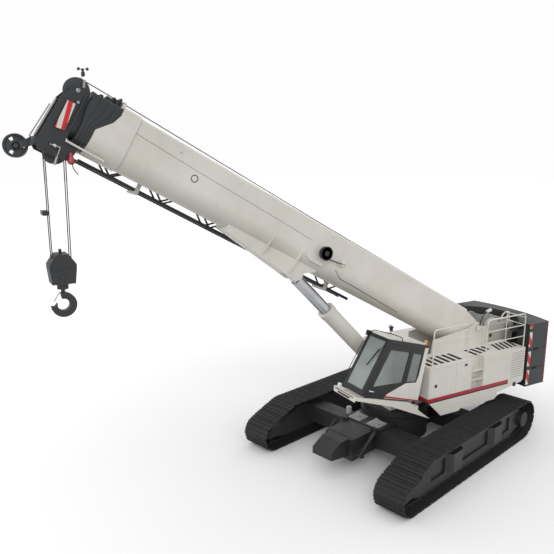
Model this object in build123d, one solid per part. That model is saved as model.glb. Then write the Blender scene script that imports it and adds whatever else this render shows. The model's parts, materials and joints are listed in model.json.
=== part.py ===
from build123d import *
from math import atan2, cos, degrees, hypot, pi, radians, sin, sqrt
import os

# Telescopic crawler crane, millimetres, +Z up, +X along the boom, +Y to the operator's left.
# The origin lies on the ground under the slewing axis.

# ---- driving dimensions ----
CLEAR = 0.3                    # seat clearance between pieces that touch
RUN = 6.0                      # clearance between pieces that move past each other

# undercarriage, in its own frame, which is turned by SLEW under the superstructure
SLEW = 14.75                   # degrees from the superstructure's axis to the tracks
GAUGE = 4754.0
SHOE_W = 914.0
SHOE_T = 34.0                  # shoe plate with its link
GROUSER_H = 26.0
SHOES = 50
SPROCKET_X, SPROCKET_R = -2948.0, 609.0      # radii out to the grouser tips
IDLER_X, IDLER_R = 3170.0, 440.0
CREST_X = 2350.0               # where the top run starts to fall to the idler
LINK_T = 70.0                  # depth of the link rails under the shoes
FRAME_W = 470.0                # width of a track frame
ROLLER_R = 135.0
ROLLERS = 9
CARBODY_TOP = 1080.0
CARBODY_BOTTOM = 420.0
CARBODY_R = 1000.0
BEAM_X = 1300.0                # the cross beams lie this far from the slewing axis
BEAM_W = 560.0
RING_R, RING_BORE, RING_H = 930.0, 700.0, 190.0
WEIGHT_X = 2600.0              # front face of a carbody weight
WEIGHT_W, WEIGHT_TOP, WEIGHT_BOTTOM = 960.0, 1000.0, 380.0

POCKETS = (-1300.0, 950.0)     # outer ends of the cross beams on each track frame
POCKET_W, POCKET_Y, POCKET_Z0, POCKET_Z1 = 350.0, 130.0, 400.0, 930.0
PANELS = ((-2250.0, -1700.0), (-900.0, 550.0), (1400.0, 2050.0))   # sunk panels: rear x, front x
PANEL_D, PANEL_Z0, PANEL_Z1 = 55.0, 440.0, 880.0
TRACK_T = GROUSER_H + SHOE_T + LINK_T        # grouser tips to the inside of the link rails
GROUSERS = ((0.05, 0.14), (0.42, 0.52), (0.80, 0.89))   # each bar's start and end, as shares of a shoe
ROLLER_W = 250.0
ROLLER_Z = TRACK_T + ROLLER_R
DISC_W, AXLE_R, FORK_H = 110.0, 80.0, 130.0
SKID_H, SKIDS = 95.0, (-1500.0, 0.0, 1500.0)  # slide blocks under the top run
CARBODY_X, CARBODY_W = 1580.0, 1300.0
NOSE_X, NOSE_W = 3300.0, 680.0
JACK_X, JACK_Z, JACK_R = 1690.0, 1000.0, 48.0
JACK_Y = WEIGHT_W / 2 + 40 + JACK_R
JACK_PIN_R, YOKE_LOW, YOKE_HIGH, LUG_T = 34.0, 100.0, 60.0, 25.0   # hinge pin, yoke depth about JACK_Z, lugs
FLOAT_X, FLOAT_W = 1330.0, 420.0

# superstructure
FRAME_FRONT = 620.0
FLOOR_Z = CARBODY_TOP + RING_H + CLEAR
FLOOR_T = 60.0
PLATE_Y, PLATE_T = 520.0, 40.0  # inner face and thickness of the main side plates
HOUSE_W = 1495.0               # half width over the side panels
HOUSE_FRONT, HOUSE_REAR = 70.0, -3880.0
HOUSE_BOTTOM, DECK_Z = 1710.0, 2770.0
HOOD_Z = 2900.0                # top of the engine hood on the right
RAIL_H, RAIL_R = 1060.0, 19.0
RAIL_Y, RAIL_IN = HOUSE_W - 60, 750.0
LOUVRES, LOUVRE_X0, LOUVRE_X1, LOUVRE_Z, LOUVRE_STEP, LOUVRE_H = 11, -3850.0, -3290.0, 1860.0, 78.0, 26.0
SLAB_FRONT, SLAB_REAR, SLAB_MID, SLAB_W = -3960.0, -4830.0, -5060.0, 1530.0
RECESS_Y = 1100.0              # half width of the hollow in the upper slab's front, round the winch
WEIGHTS = (                    # counterweight slabs: name, bottom z, top z, depth of the hollow
    ("lower", 1460.0, 2040.0, 0),
    ("middle", 2040.0, 2660.0, 0),
    ("upper", 2660.0, 3480.0, 620),
)
SLAB_LUG_Y, SLAB_LUG_X, SLAB_LUG_Z, SLAB_LUG_R = 1170.0, -3620.0, 3310.0, 90.0

DRUM_X, DRUM_Z, DRUM_R, DRUM_FLANGE_R, DRUM_PIN_R = -3480.0, 3180.0, 240.0, 330.0, 60.0
WINCH_X0, WINCH_X1, WINCH_Z0, WINCH_Z1 = -4420.0, -3300.0, 2400.0, 3300.0
WINCH_T = 50.0                 # winch frame plates, against the inner faces of the side plates
DOOR_X0, DOOR_X1, DOOR_Z0, DOOR_Z1, DOOR_T, LOCKER_D = -830.0, 10.0, 1890.0, 2700.0, 30.0, 700.0
LADDER_X0, LADDER_X1, LADDER_D = -2090.0, -1600.0, 240.0
RUNG_ZS = (2060.0, 2340.0)
HINGE_R, HINGE_L = 14.0, 90.0  # door hinge barrels
HOOD_T = 30.0
HOOD_DOOR_X0, HOOD_DOOR_X1 = -2900.0, -1500.0
HOOD_SLOTS, HOOD_SLOT_Z, HOOD_SLOT_STEP = 7, 1990.0, 95.0   # air slots in the hood door
STEP_Z = 1245.0
CAB_LUGS, CAB_PIN_R = (680.0, 1230.0), 30.0

# boom, in its own frame: s along the boom from the foot pin, t square to it
PIVOT_X, PIVOT_Z = -2760.0, 3290.0
LUFF = 28.35                   # boom angle at rest
BOOM_HW, BOOM_TOP, BOOM_BOTTOM = 450.0, 374.0, -850.0
BOOM_SIDE = -400.0             # where the flat side ends and the round belly starts
BOOM_CORNER = 60.0
NEST = 30.0                    # step from one section to the next inside it
WALL = 12.0
BASE_END = 12500.0
RAKE_TOP, RAKE_MID, RAKE_LOW = 165.0, 150.0, 70.0   # step of the raked front edges per section
RAKE_MID_S, RAKE_LOW_S = 80.0, 350.0               # the base's edge there, past BASE_END
SECTIONS = 5
HEAD_S = 13760.0
TIP_SHEAVE_S, TIP_SHEAVE_T, SHEAVE_R = 13450.0, 240.0, 270.0
FALL_SHEAVE_S, FALL_SHEAVE_T, FALL_SHEAVE_R = 13290.0, -1100.0, 215.0
NOSE_SHEAVE_S, NOSE_SHEAVE_T, NOSE_SHEAVE_R = 14010.0, -1310.0, 240.0
FOOT_PIN_R = 75.0

HEAD_PLATE_S = 13250.0
COLLAR_IN = 16.0
TAB_H, TAB_FALL = 170.0, 35.0  # rope guide over the base section's top, and its step per section
CHEEK_Y, SHEAVE_PIN_R = 250.0, 50.0
JIB_PIN_S, JIB_PIN_T, JIB_PIN_R = 13480.0, -400.0, 32.0   # bore for the erected jib's foot pin
TIP_SHEAVE_Y = 120.0
NOSE_GAP = 60.0
JIB_S0, JIB_S1, JIB_Y0, JIB_Y1, JIB_T0, JIB_T1, JIB_R, JIB_BAYS = 4300.0, 12700.0, -1000.0, -560.0, -960.0, -420.0, 38.0, 12
REEL_S, REEL_T = 6440.0, -260.0

# lift cylinder
LIFT_S, LIFT_T = 6730.0, -1100.0
LIFT_FOOT_X, LIFT_FOOT_Z = -360.0, 1450.0
BARREL_R, BARREL_BORE, ROD_R = 230.0, 200.0, 165.0
PISTON_L, NECK_L, LUG_R = 120.0, 720.0, 140.0
BARREL_L = 4200.0              # foot pin to barrel mouth
LIFT_PIN_R, LIFT_EYE_R, LIFT_EYE_W = 60.0, 130.0, 200.0

# hook
FALL_L = 2090.0                # fall sheave axis to the top of the hook block
BLOCK_H, BLOCK_W, BLOCK_T = 640.0, 560.0, 420.0
FALL_Y, FALL_SHEAVES = 100.0, 3  # the outer grooves carry the falls
GROOVE = 0.9                   # groove bottom, as a share of a sheave's radius
ROPE_R, SHANK_R, HOOK_R, HOOK_T = 11.0, 45.0, 200.0, 70.0
HOOK_DROP, HOOK_W = 1120.0, 130.0   # block top to the bowl's centre, forging width

# cab, in its own frame: +X forward from the tilt pivot, then tilted back
CAB_TILT = 15.6
CAB_X, CAB_Z = 440.0, 1780.0
CAB_BASE = 70.0                # underside of the cab floor above the tilt pivot
CAB_IN, CAB_OUT = 600.0, 1450.0
CAB_L, CAB_H = 2060.0, 1600.0
CAB_SKIN = 45.0
GLASS = 8.0
CAB_ROOF_X0, CAB_ROOF_X1 = 120.0, 1600.0
FRONT_LOW, FRONT_HIGH, FRONT_SIDE = 160.0, 85.0, 90.0   # windscreen margins
# side openings, corner by corner: the cab edge it is measured from (0 rear, 1 front), distance
# from that edge, height over the tilt pivot
DOOR = ((0, 610, 560), (1, -790, 150), (1, -110, 150), (1, -110, 1560), (0, 600, 1560))
DOOR_PANE = ((0, 720, 550), (1, -240, 340), (1, -240, 1400), (0, 650, 1400))
QUARTER_PANE = ((0, 210, 620), (0, 560, 580), (0, 510, 1395), (0, 180, 1395))
RIGHT_PANE = ((0, 150, 620), (1, -200, 620), (1, -200, 1480), (0, 150, 1480))

cosL, sinL = cos(radians(LUFF)), sin(radians(LUFF))


# ---- helpers ----
def box(x0, x1, y0, y1, z0, z1):
    """A block between two corners."""
    return Pos((x0 + x1) / 2, (y0 + y1) / 2, (z0 + z1) / 2) * Box(x1 - x0, y1 - y0, z1 - z0)


def side_plate(points, y0, y1):
    """A plate whose outline is given in X and Z, from y0 to y1."""
    face = make_face(Plane.XZ * Polyline(*points, close=True))
    return Pos(0, y0, 0) * extrude(face, y1 - y0, dir=(0, 1, 0))


def top_plate(points, z0, z1):
    """A plate whose outline is given in X and Y, from z0 to z1."""
    face = make_face(Polyline(*points, close=True))
    return Pos(0, 0, z0) * extrude(face, z1 - z0, dir=(0, 0, 1))


def rod(p, q, r):
    """A round bar from p to q."""
    p, q = Vector(*p), Vector(*q)
    return Plane(origin=p, z_dir=q - p) * Cylinder(r, (q - p).length, align=(Align.CENTER, Align.CENTER, Align.MIN))


def strut(p, q, w):
    """A square bar from p to q."""
    p, q = Vector(*p), Vector(*q)
    return Plane(origin=p, z_dir=q - p) * Box(w, w, (q - p).length, align=(Align.CENTER, Align.CENTER, Align.MIN))


def pin_y(x, z, r, y0, y1):
    """A round pin along Y."""
    return rod((x, y0, z), (x, y1, z), r)


def pipe(points, r, bend):
    """A bent tube through points, with bends of one radius."""
    line = FilletPolyline(*points, radius=bend)
    start = Plane(origin=line @ 0, z_dir=line % 0)
    return sweep(start * Circle(r), path=line)


def turned(shape, x, z, angle):
    """Puts a shape at (x, z) with its +X raised by angle."""
    return Pos(x, 0, z) * Rot(0, -angle, 0) * shape


def on_boom(shape):
    return turned(shape, PIVOT_X, PIVOT_Z, LUFF)


def boom_point(s, t):
    return PIVOT_X + s * cosL - t * sinL, PIVOT_Z + s * sinL + t * cosL


def on_tracks(shape):
    return Rot(0, 0, SLEW) * shape


def on_cab(shape):
    return turned(shape, CAB_X, CAB_Z, CAB_TILT)


def save(name, shape):
    export_step(shape, f"parts/{name}.step")


# ---- undercarriage ----
def track_line(inset):
    """The track's outline, inset from the grouser tips: straight runs and drum arcs."""
    rs, ri = SPROCKET_R - inset, IDLER_R - inset
    top = 2 * SPROCKET_R - inset
    dx, dz = CREST_X - IDLER_X, top - IDLER_R
    fall = atan2(dz, dx) - atan2(sqrt(dx * dx + dz * dz - ri * ri), ri)
    touch = (IDLER_X + ri * cos(fall), IDLER_R + ri * sin(fall))
    nose = (fall - pi / 2) / 2
    front = (IDLER_X + ri * cos(nose), IDLER_R + ri * sin(nose))
    return [
        Line((SPROCKET_X, inset), (IDLER_X, inset)),
        ThreePointArc((IDLER_X, inset), front, touch),
        Line(touch, (CREST_X, top)),
        Line((CREST_X, top), (SPROCKET_X, top)),
        ThreePointArc((SPROCKET_X, top), (SPROCKET_X - rs, SPROCKET_R), (SPROCKET_X, inset)),
    ]


def track_loop(y_mid):
    """One closed track: link rails and shoes, each shoe with three grouser bars."""
    base = Wire(track_line(GROUSER_H))
    inner = Wire(track_line(TRACK_T))
    outline = []
    for i in range(SHOES):
        for start, end in GROUSERS:
            for share, lift in ((start, 0), (start, GROUSER_H), (end, GROUSER_H), (end, 0)):
                u = (i + share) / SHOES
                p, d = base @ u, base % u
                outline.append((p.X + d.Y * lift, p.Y - d.X * lift))
    loop = make_face(Polyline(*outline, close=True)) - make_face(inner)
    return Pos(0, y_mid - SHOE_W / 2, 0) * extrude(Plane.XZ * loop, SHOE_W, dir=(0, 1, 0))


def track_frame(y_mid):
    """Box side frame, forked at both ends, open below for the rollers."""
    y0, y1 = y_mid - FRAME_W / 2, y_mid + FRAME_W / 2
    low, high = ROLLER_Z - 50, 2 * SPROCKET_R - TRACK_T - SKID_H
    frame = side_plate([
        (SPROCKET_X + 250, low + 120), (SPROCKET_X + 620, low), (IDLER_X - 600, low), (IDLER_X - 300, IDLER_R - FORK_H),
        (IDLER_X, IDLER_R - FORK_H), (IDLER_X, IDLER_R + FORK_H), (IDLER_X - 500, IDLER_R + FORK_H + 60),
        (CREST_X - 350, high), (SPROCKET_X + 300, high), (SPROCKET_X, SPROCKET_R + 240), (SPROCKET_X, SPROCKET_R - 240),
    ], y0, y1)
    for x, z, r in ((SPROCKET_X, SPROCKET_R, 240), (IDLER_X, IDLER_R, FORK_H)):
        frame += pin_y(x, z, r, y0, y1)
    for x in SKIDS:
        frame += box(x - 220, x + 220, y_mid - 110, y_mid + 110, high - 10, high + SKID_H - CLEAR)
    slot = DISC_W / 2 + RUN
    for x, z, r in ((SPROCKET_X, SPROCKET_R, SPROCKET_R), (IDLER_X, IDLER_R, IDLER_R)):
        frame -= pin_y(x, z, r - TRACK_T + 2 * RUN, y_mid - slot, y_mid + slot)
        frame -= pin_y(x, z, AXLE_R + 0.1, y0 - 1, y1 + 1)
    out = 1 if y_mid > 0 else -1
    face = y_mid + out * FRAME_W / 2
    for x0, x1 in PANELS:
        ya, yb = sorted((face - out * PANEL_D, face + out))
        frame -= box(x0, x1, ya, yb, PANEL_Z0, PANEL_Z1)
    for x in POCKETS:
        frame += top_plate([
            (x - POCKET_W, face - out), (x + POCKET_W, face - out), (x + POCKET_W - POCKET_Y, face + out * POCKET_Y),
            (x - POCKET_W + POCKET_Y, face + out * POCKET_Y),
        ], POCKET_Z0, POCKET_Z1)
    trough = ROLLER_W / 2 + CLEAR
    frame -= box(SPROCKET_X + 640, IDLER_X - 460, y_mid - trough, y_mid + trough, 0, ROLLER_Z + ROLLER_R + RUN)
    return frame


def disc_set(x, z, r, hub_r, hub_w):
    """A toothed drum or an idler for each track, on its axle, with a hub on the outer face."""
    discs = []
    for out in (1, -1):
        y = out * GAUGE / 2
        wheel = pin_y(x, z, r - TRACK_T - CLEAR, y - DISC_W / 2, y + DISC_W / 2)
        wheel += pin_y(x, z, AXLE_R, y - FRAME_W / 2 - 20, y + FRAME_W / 2 + 20)
        face = y + out * (FRAME_W / 2 + CLEAR)
        wheel += pin_y(x, z, hub_r, *sorted((face, face + out * hub_w)))
        discs.append(wheel)
    return Compound(discs)


def rollers():
    """Track rollers of both sides, each between the lips of its frame."""
    first, last = SPROCKET_X + 640 + 1.3 * ROLLER_R, IDLER_X - 460 - 1.3 * ROLLER_R
    found = []
    for y in (GAUGE / 2, -GAUGE / 2):
        for i in range(ROLLERS):
            x = first + (last - first) * i / (ROLLERS - 1)
            found.append(pin_y(x, ROLLER_Z, ROLLER_R - CLEAR, y - ROLLER_W / 2, y + ROLLER_W / 2))
    return Compound(found)


def carbody():
    """Drum under the slewing ring, its box and the cross beams out to the side frames."""
    body = Pos(0, 0, (CARBODY_TOP + CARBODY_BOTTOM) / 2) * Cylinder(CARBODY_R, CARBODY_TOP - CARBODY_BOTTOM)
    body += box(-CARBODY_X, CARBODY_X, -CARBODY_W / 2, CARBODY_W / 2, CARBODY_BOTTOM, CARBODY_TOP - 60)
    reach = GAUGE / 2 - FRAME_W / 2 - CLEAR
    for x in (BEAM_X, -BEAM_X):
        body += box(x - BEAM_W / 2, x + BEAM_W / 2, -reach, reach, CARBODY_BOTTOM + 20, CARBODY_TOP - 120)
    return body


def carbody_weight(end):
    """Cast weight on the front or rear of the carbody, with its bevelled nose. end is +1 or -1."""
    x0 = CARBODY_X + CLEAR
    block = box(x0, WEIGHT_X, -WEIGHT_W / 2, WEIGHT_W / 2, WEIGHT_BOTTOM, WEIGHT_TOP)
    nose = side_plate([
        (WEIGHT_X - 10, WEIGHT_TOP), (WEIGHT_X + 300, WEIGHT_TOP), (NOSE_X, WEIGHT_TOP - 210),
        (NOSE_X, WEIGHT_BOTTOM + 210), (WEIGHT_X - 10, WEIGHT_BOTTOM + 110),
    ], -NOSE_W / 2, NOSE_W / 2)
    groove = box(WEIGHT_X - 90, WEIGHT_X - 60, -WEIGHT_W / 2, WEIGHT_W / 2, WEIGHT_TOP - 20, WEIGHT_TOP + 1)
    weight = block + nose - groove
    for out in (1, -1):
        y0, y1 = sorted((out * (WEIGHT_W / 2 - 40), out * (JACK_Y + JACK_R)))
        low, high = JACK_Z - YOKE_LOW - 2, JACK_Z + YOKE_HIGH + 2
        weight += box(JACK_X - 50, JACK_X + 50, y0, y1, low - LUG_T, high + LUG_T)
        weight -= rod((JACK_X, out * JACK_Y, low), (JACK_X, out * JACK_Y, high), JACK_Y - WEIGHT_W / 2 + 1)
        weight -= rod((JACK_X, out * JACK_Y, low - LUG_T - 1), (JACK_X, out * JACK_Y, high + LUG_T + 1), JACK_PIN_R + 0.1)
    return weight if end > 0 else Rot(0, 0, 180) * weight


def jack(end, out):
    """Swinging jack beam folded along the weight's flank, with its leg laid down beside it."""
    y = JACK_Y
    beam = rod((JACK_X, y, JACK_Z), (WEIGHT_X - 120, y, JACK_Z - 440), JACK_R)
    leg = rod((JACK_X + 240, y + 2 * JACK_R + 14, JACK_Z + 20), (WEIGHT_X - 60, y + 2 * JACK_R + 14, JACK_Z - 420), JACK_R * 0.8)
    yoke = box(JACK_X - 60, JACK_X + 60, y - JACK_R, y + JACK_R, JACK_Z - YOKE_LOW, JACK_Z + YOKE_HIGH)
    foot = box(WEIGHT_X - 190, WEIGHT_X - 90, y - 30, y + 3 * JACK_R + 30, JACK_Z - 470, JACK_Z - 370)
    post = rod((JACK_X, y, JACK_Z - YOKE_LOW - LUG_T), (JACK_X, y, JACK_Z + YOKE_HIGH + LUG_T), JACK_PIN_R)
    shape = beam + leg + yoke + foot + post
    if out < 0:
        shape = mirror(shape, Plane.XZ)
    return shape if end > 0 else mirror(shape, Plane.YZ)


def jack_floats():
    """Jack pads with crossed gussets, stowed on the carbody in front of the ring."""
    pads = []
    for y in (-330, 330):
        pad = Pos(0, 0, 15) * Box(FLOAT_W, FLOAT_W, 30) + Pos(0, 0, 90) * Cylinder(48, 150)
        gusset = side_plate([(-FLOAT_W * 0.6, 25), (FLOAT_W * 0.6, 25), (40, 150), (-40, 150)], -14, 14)
        for angle in (45, 135):
            pad += Rot(0, 0, angle) * gusset
        pads.append(Pos(FLOAT_X, y, CARBODY_TOP - 60 + CLEAR) * pad)
    return Compound(pads)


def save_undercarriage():
    for side, y in (("left", GAUGE / 2), ("right", -GAUGE / 2)):
        save(f"track_{side}", on_tracks(track_loop(y)))
        save(f"track_frame_{side}", on_tracks(track_frame(y)))
    save("track_sprockets", on_tracks(disc_set(SPROCKET_X, SPROCKET_R, SPROCKET_R, 230, 150)))
    save("track_idlers", on_tracks(disc_set(IDLER_X, IDLER_R, IDLER_R, 110, 40)))
    save("track_rollers", on_tracks(rollers()))
    save("carbody", on_tracks(carbody()))
    ring = Cylinder(RING_R, RING_H) - Cylinder(RING_BORE, RING_H + 2)
    save("slew_ring", Pos(0, 0, CARBODY_TOP + RING_H / 2) * ring)
    for end, name in ((1, "front"), (-1, "rear")):
        save(f"carbody_weight_{name}", on_tracks(carbody_weight(end)))
        for out, side in ((1, "left"), (-1, "right")):
            save(f"jack_{name}_{side}", on_tracks(jack(end, out)))
    save("jack_floats", on_tracks(jack_floats()))


# ---- superstructure ----
def upper_frame():
    """Floor, main side plates with the boom foot ears, lift cylinder lugs and drum bearings."""
    frame = box(SLAB_FRONT + CLEAR, FRAME_FRONT, -PLATE_Y - PLATE_T, PLATE_Y + PLATE_T, FLOOR_Z, FLOOR_Z + FLOOR_T)
    outline = [
        (SLAB_FRONT + CLEAR, FLOOR_Z), (FRAME_FRONT, FLOOR_Z), (FRAME_FRONT, 1780), (-700, 2300), (-860, 2640),
        (-930, 3170), (PIVOT_X + 290, PIVOT_Z + 60), (PIVOT_X + 110, PIVOT_Z + 140), (PIVOT_X - 170, PIVOT_Z + 60),
        (PIVOT_X - 400, PIVOT_Z), (PIVOT_X - 440, DECK_Z - 70), (SLAB_FRONT + CLEAR, DECK_Z - 90),
    ]
    for y in (PLATE_Y, -PLATE_Y - PLATE_T):
        frame += side_plate(outline, y, y + PLATE_T)
        frame += pin_y(PIVOT_X, PIVOT_Z, 180, y, y + PLATE_T)
    for y in (LIFT_EYE_W / 2 + CLEAR, -LIFT_EYE_W / 2 - CLEAR - 70):
        lug = box(LIFT_FOOT_X - LUG_R, LIFT_FOOT_X + LUG_R, y, y + 70, FLOOR_Z + FLOOR_T - 1, LIFT_FOOT_Z)
        frame += lug + pin_y(LIFT_FOOT_X, LIFT_FOOT_Z, LUG_R, y, y + 70)
    frame -= pin_y(PIVOT_X, PIVOT_Z, FOOT_PIN_R + 0.1, -900, 900)
    frame -= pin_y(LIFT_FOOT_X, LIFT_FOOT_Z, LIFT_PIN_R + 0.1, -300, 300)
    return frame


def winch_frame():
    """Open box behind the boom foot that carries the rope drum."""
    y0, y1 = PLATE_Y - CLEAR - WINCH_T, PLATE_Y - CLEAR
    outline = [
        (WINCH_X1, WINCH_Z0), (WINCH_X1, WINCH_Z1), (WINCH_X0, WINCH_Z1), (WINCH_X0, DECK_Z - 90),
        (SLAB_FRONT + 20, DECK_Z - 90), (SLAB_FRONT + 20, WINCH_Z0),
    ]
    frame = box(WINCH_X0, WINCH_X0 + 30, -y1, y1, DECK_Z - 90, WINCH_Z1)
    frame += box(WINCH_X0, WINCH_X1, -y1, y1, DECK_Z - 90, DECK_Z - 60)
    for ya, yb in ((y0, y1), (-y1, -y0)):
        frame += side_plate(outline, ya, yb) + pin_y(DRUM_X, DRUM_Z, 150, ya, yb)
    return frame - pin_y(DRUM_X, DRUM_Z, DRUM_PIN_R + 0.1, -900, 900)


def hoist_drum():
    """Grooved rope drum between two flanges."""
    half = PLATE_Y - CLEAR - WINCH_T - RUN
    drum = pin_y(DRUM_X, DRUM_Z, DRUM_R, -half, half)
    for y in (-half, half - 30):
        drum += pin_y(DRUM_X, DRUM_Z, DRUM_FLANGE_R, y, y + 30)
    return drum + pin_y(DRUM_X, DRUM_Z, DRUM_PIN_R, -PLATE_Y + CLEAR, PLATE_Y - CLEAR)


def house_left():
    """Left deck box with a tool locker behind its door and the ladder let into its side."""
    y0 = PLATE_Y + PLATE_T + CLEAR
    house = box(HOUSE_REAR, HOUSE_FRONT, y0, HOUSE_W, HOUSE_BOTTOM, DECK_Z)
    house -= box(DOOR_X0, DOOR_X1, HOUSE_W - LOCKER_D, HOUSE_W + 1, DOOR_Z0, DOOR_Z1)
    house -= box(LADDER_X0, LADDER_X1, HOUSE_W - LADDER_D, HOUSE_W + 1, HOUSE_BOTTOM + 90, DECK_Z + 1)
    for z in RUNG_ZS:
        house += box(LADDER_X0 - 5, LADDER_X1 + 5, HOUSE_W - LADDER_D - 5, HOUSE_W - 20, z, z + 30)
    for i in range(LOUVRES):
        z = LOUVRE_Z + LOUVRE_STEP * i
        house -= box(LOUVRE_X0, LOUVRE_X1, HOUSE_W - 18, HOUSE_W + 1, z, z + LOUVRE_H)
    return house - hinges(locker_hinge_line(), CLEAR)


def locker_hinge_line():
    return (DOOR_X0 + RUN, HOUSE_W, DOOR_Z0), (DOOR_X0 + RUN, HOUSE_W, DOOR_Z1)


def hinges(line, more):
    """Two hinge barrels on a line between two points, larger by more."""
    p, q = Vector(*line[0]), Vector(*line[1])
    along = (q - p).normalized()
    found = None
    for share in (0.15, 0.85):
        middle = p + (q - p) * share
        reach = along * (HINGE_L / 2 + more)
        barrel = rod(middle - reach, middle + reach, HINGE_R + more)
        found = barrel if found is None else found + barrel
    return found


def house_door():
    """Locker door, flush in the left side."""
    door = box(DOOR_X0 + RUN, DOOR_X1 - RUN, HOUSE_W - DOOR_T, HOUSE_W, DOOR_Z0 + RUN, DOOR_Z1 - RUN)
    door += hinges(locker_hinge_line(), 0)
    return door - box(DOOR_X1 - 150, DOOR_X1 - 80, HOUSE_W - 10, HOUSE_W + 1, 2150, 2230)


def engine_hood():
    """Right hand hood, a hollow shell with a side opening for its door."""
    y0, y1 = -HOUSE_W, -PLATE_Y - PLATE_T - CLEAR
    hood = box(HOUSE_REAR, HOUSE_FRONT, y0, y1, HOUSE_BOTTOM, HOOD_Z)
    hood -= box(HOUSE_REAR + HOOD_T, HOUSE_FRONT - HOOD_T, y0 + HOOD_T, y1 - HOOD_T, HOUSE_BOTTOM + HOOD_T, HOOD_Z - HOOD_T)
    hood -= box(HOOD_DOOR_X0, HOOD_DOOR_X1, y0 - 1, y0 + HOOD_T + 1, HOUSE_BOTTOM + 120, HOOD_Z - 120)
    return hood - hinges(hood_hinge_line(), CLEAR)


def hood_hinge_line():
    z = HOOD_Z - 120 - RUN
    return (HOOD_DOOR_X0, -HOUSE_W, z), (HOOD_DOOR_X1, -HOUSE_W, z)


def slab(z0, z1, recess):
    """One counterweight slab, bowed at the rear and hollowed at the front by recess."""
    ends = (SLAB_FRONT, -RECESS_Y), (SLAB_FRONT, RECESS_Y)
    outline = [
        Line((SLAB_FRONT, -SLAB_W), ends[0]),
        ThreePointArc(ends[0], (SLAB_FRONT - recess, 0), ends[1]) if recess else Line(*ends),
        Line(ends[1], (SLAB_FRONT, SLAB_W)),
        Line((SLAB_FRONT, SLAB_W), (SLAB_REAR, SLAB_W)),
        ThreePointArc((SLAB_REAR, SLAB_W), (SLAB_MID, 0), (SLAB_REAR, -SLAB_W)),
        Line((SLAB_REAR, -SLAB_W), (SLAB_FRONT, -SLAB_W)),
    ]
    block = Pos(0, 0, z0) * extrude(make_face(outline), z1 - z0 - CLEAR, dir=(0, 0, 1))
    if recess:
        for y in (SLAB_LUG_Y, -SLAB_LUG_Y):
            block += box(SLAB_FRONT - 1, SLAB_LUG_X, y - 30, y + 30, SLAB_LUG_Z - SLAB_LUG_R, SLAB_LUG_Z + SLAB_LUG_R)
            block += pin_y(SLAB_LUG_X, SLAB_LUG_Z, SLAB_LUG_R, y - 30, y + 30)
    return block


def side_step():
    """Skirt and step under the left deck."""
    return side_plate([
        (HOUSE_FRONT - 40, HOUSE_BOTTOM - CLEAR), (-460, STEP_Z), (-1160, STEP_Z), (-1230, STEP_Z + 60),
        (-2620, STEP_Z + 60), (-2740, STEP_Z + 130), (-2740, STEP_Z + 260), (HOUSE_REAR + 60, HOUSE_BOTTOM - 50),
        (HOUSE_REAR + 60, HOUSE_BOTTOM - CLEAR),
    ], HOUSE_W - 60, HOUSE_W)


def handrails():
    """Tubular rails round the left deck, with cross rails at its rear end."""
    z0, z1 = DECK_Z + CLEAR, DECK_Z + RAIL_H
    # rail: first x, last x, heights of the inner bars as shares, reach of the cross rails in y
    runs = (
        (-85, -1440, (0.66,), 0),
        (-2200, -3840, (0.66, 0.33), RAIL_Y - RAIL_IN),
    )
    parts = []
    for x0, x1, bars, reach in runs:
        rail = pipe([(x0, RAIL_Y, z0), (x0, RAIL_Y, z1), (x1, RAIL_Y, z1), (x1, RAIL_Y, z0)], RAIL_R, 110)
        for share in bars:
            z = z0 + RAIL_H * share
            rail += rod((x0, RAIL_Y, z), (x1, RAIL_Y, z), RAIL_R * 0.7)
        if reach:
            rail += rod((x1, RAIL_Y - reach, z0), (x1, RAIL_Y - reach, z1 - 110), RAIL_R)
            for z in (z1 - 120, z0 + RAIL_H * bars[0]):
                rail += rod((x1, RAIL_Y - reach, z), (x1, RAIL_Y, z), RAIL_R * 0.7)
        parts.append(rail)
    return Compound(parts)


def cab_mount():
    """Bracket under the cab with the two tilt lugs."""
    y0 = PLATE_Y + PLATE_T + CLEAR
    mount = box(CAB_X - 140, CAB_X + 140, y0, CAB_OUT - 90, CAB_Z - 260, CAB_Z - 120)
    for y in CAB_LUGS:
        mount += box(CAB_X - 55, CAB_X + 55, y, y + 60, CAB_Z - 130, CAB_Z)
        mount += pin_y(CAB_X, CAB_Z, 55, y, y + 60)
    return mount - pin_y(CAB_X, CAB_Z, CAB_PIN_R + 0.1, y0 + 20, CAB_OUT)


def save_superstructure():
    save("upper_frame", upper_frame())
    save("winch_frame", winch_frame())
    save("hoist_drum", hoist_drum())
    save("house_left", house_left())
    save("house_door", house_door())
    save("engine_hood", engine_hood())
    y0, y1 = -HOUSE_W, -PLATE_Y - PLATE_T
    hood_door = box(HOOD_DOOR_X0 + RUN, HOOD_DOOR_X1 - RUN, y0, y0 + HOOD_T, HOUSE_BOTTOM + 120 + RUN, HOOD_Z - 120 - RUN)
    for i in range(HOOD_SLOTS):
        z = HOOD_SLOT_Z + HOOD_SLOT_STEP * i
        hood_door -= box(HOOD_DOOR_X0 + 140, HOOD_DOOR_X1 - 140, y0 - 1, y0 + HOOD_T + 1, z, z + HOOD_SLOT_STEP * 0.45)
    save("hood_door", hood_door + hinges(hood_hinge_line(), 0))
    save("engine", box(-3300, -1700, y0 + 150, y1 - 120, HOUSE_BOTTOM + HOOD_T + CLEAR, HOOD_Z - 250))
    for name, z0, z1, recess in WEIGHTS:
        save(f"counterweight_{name}", slab(z0, z1, recess))
    save("side_step", side_step())
    save("handrails", handrails())
    save("cab_mount", cab_mount())
    save("boom_foot_pin", pin_y(PIVOT_X, PIVOT_Z, FOOT_PIN_R, -PLATE_Y - PLATE_T - 30, PLATE_Y + PLATE_T + 30))
    half = LIFT_EYE_W / 2 + 70
    save("lift_foot_pin", pin_y(LIFT_FOOT_X, LIFT_FOOT_Z, LIFT_PIN_R, -half, half))


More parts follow.
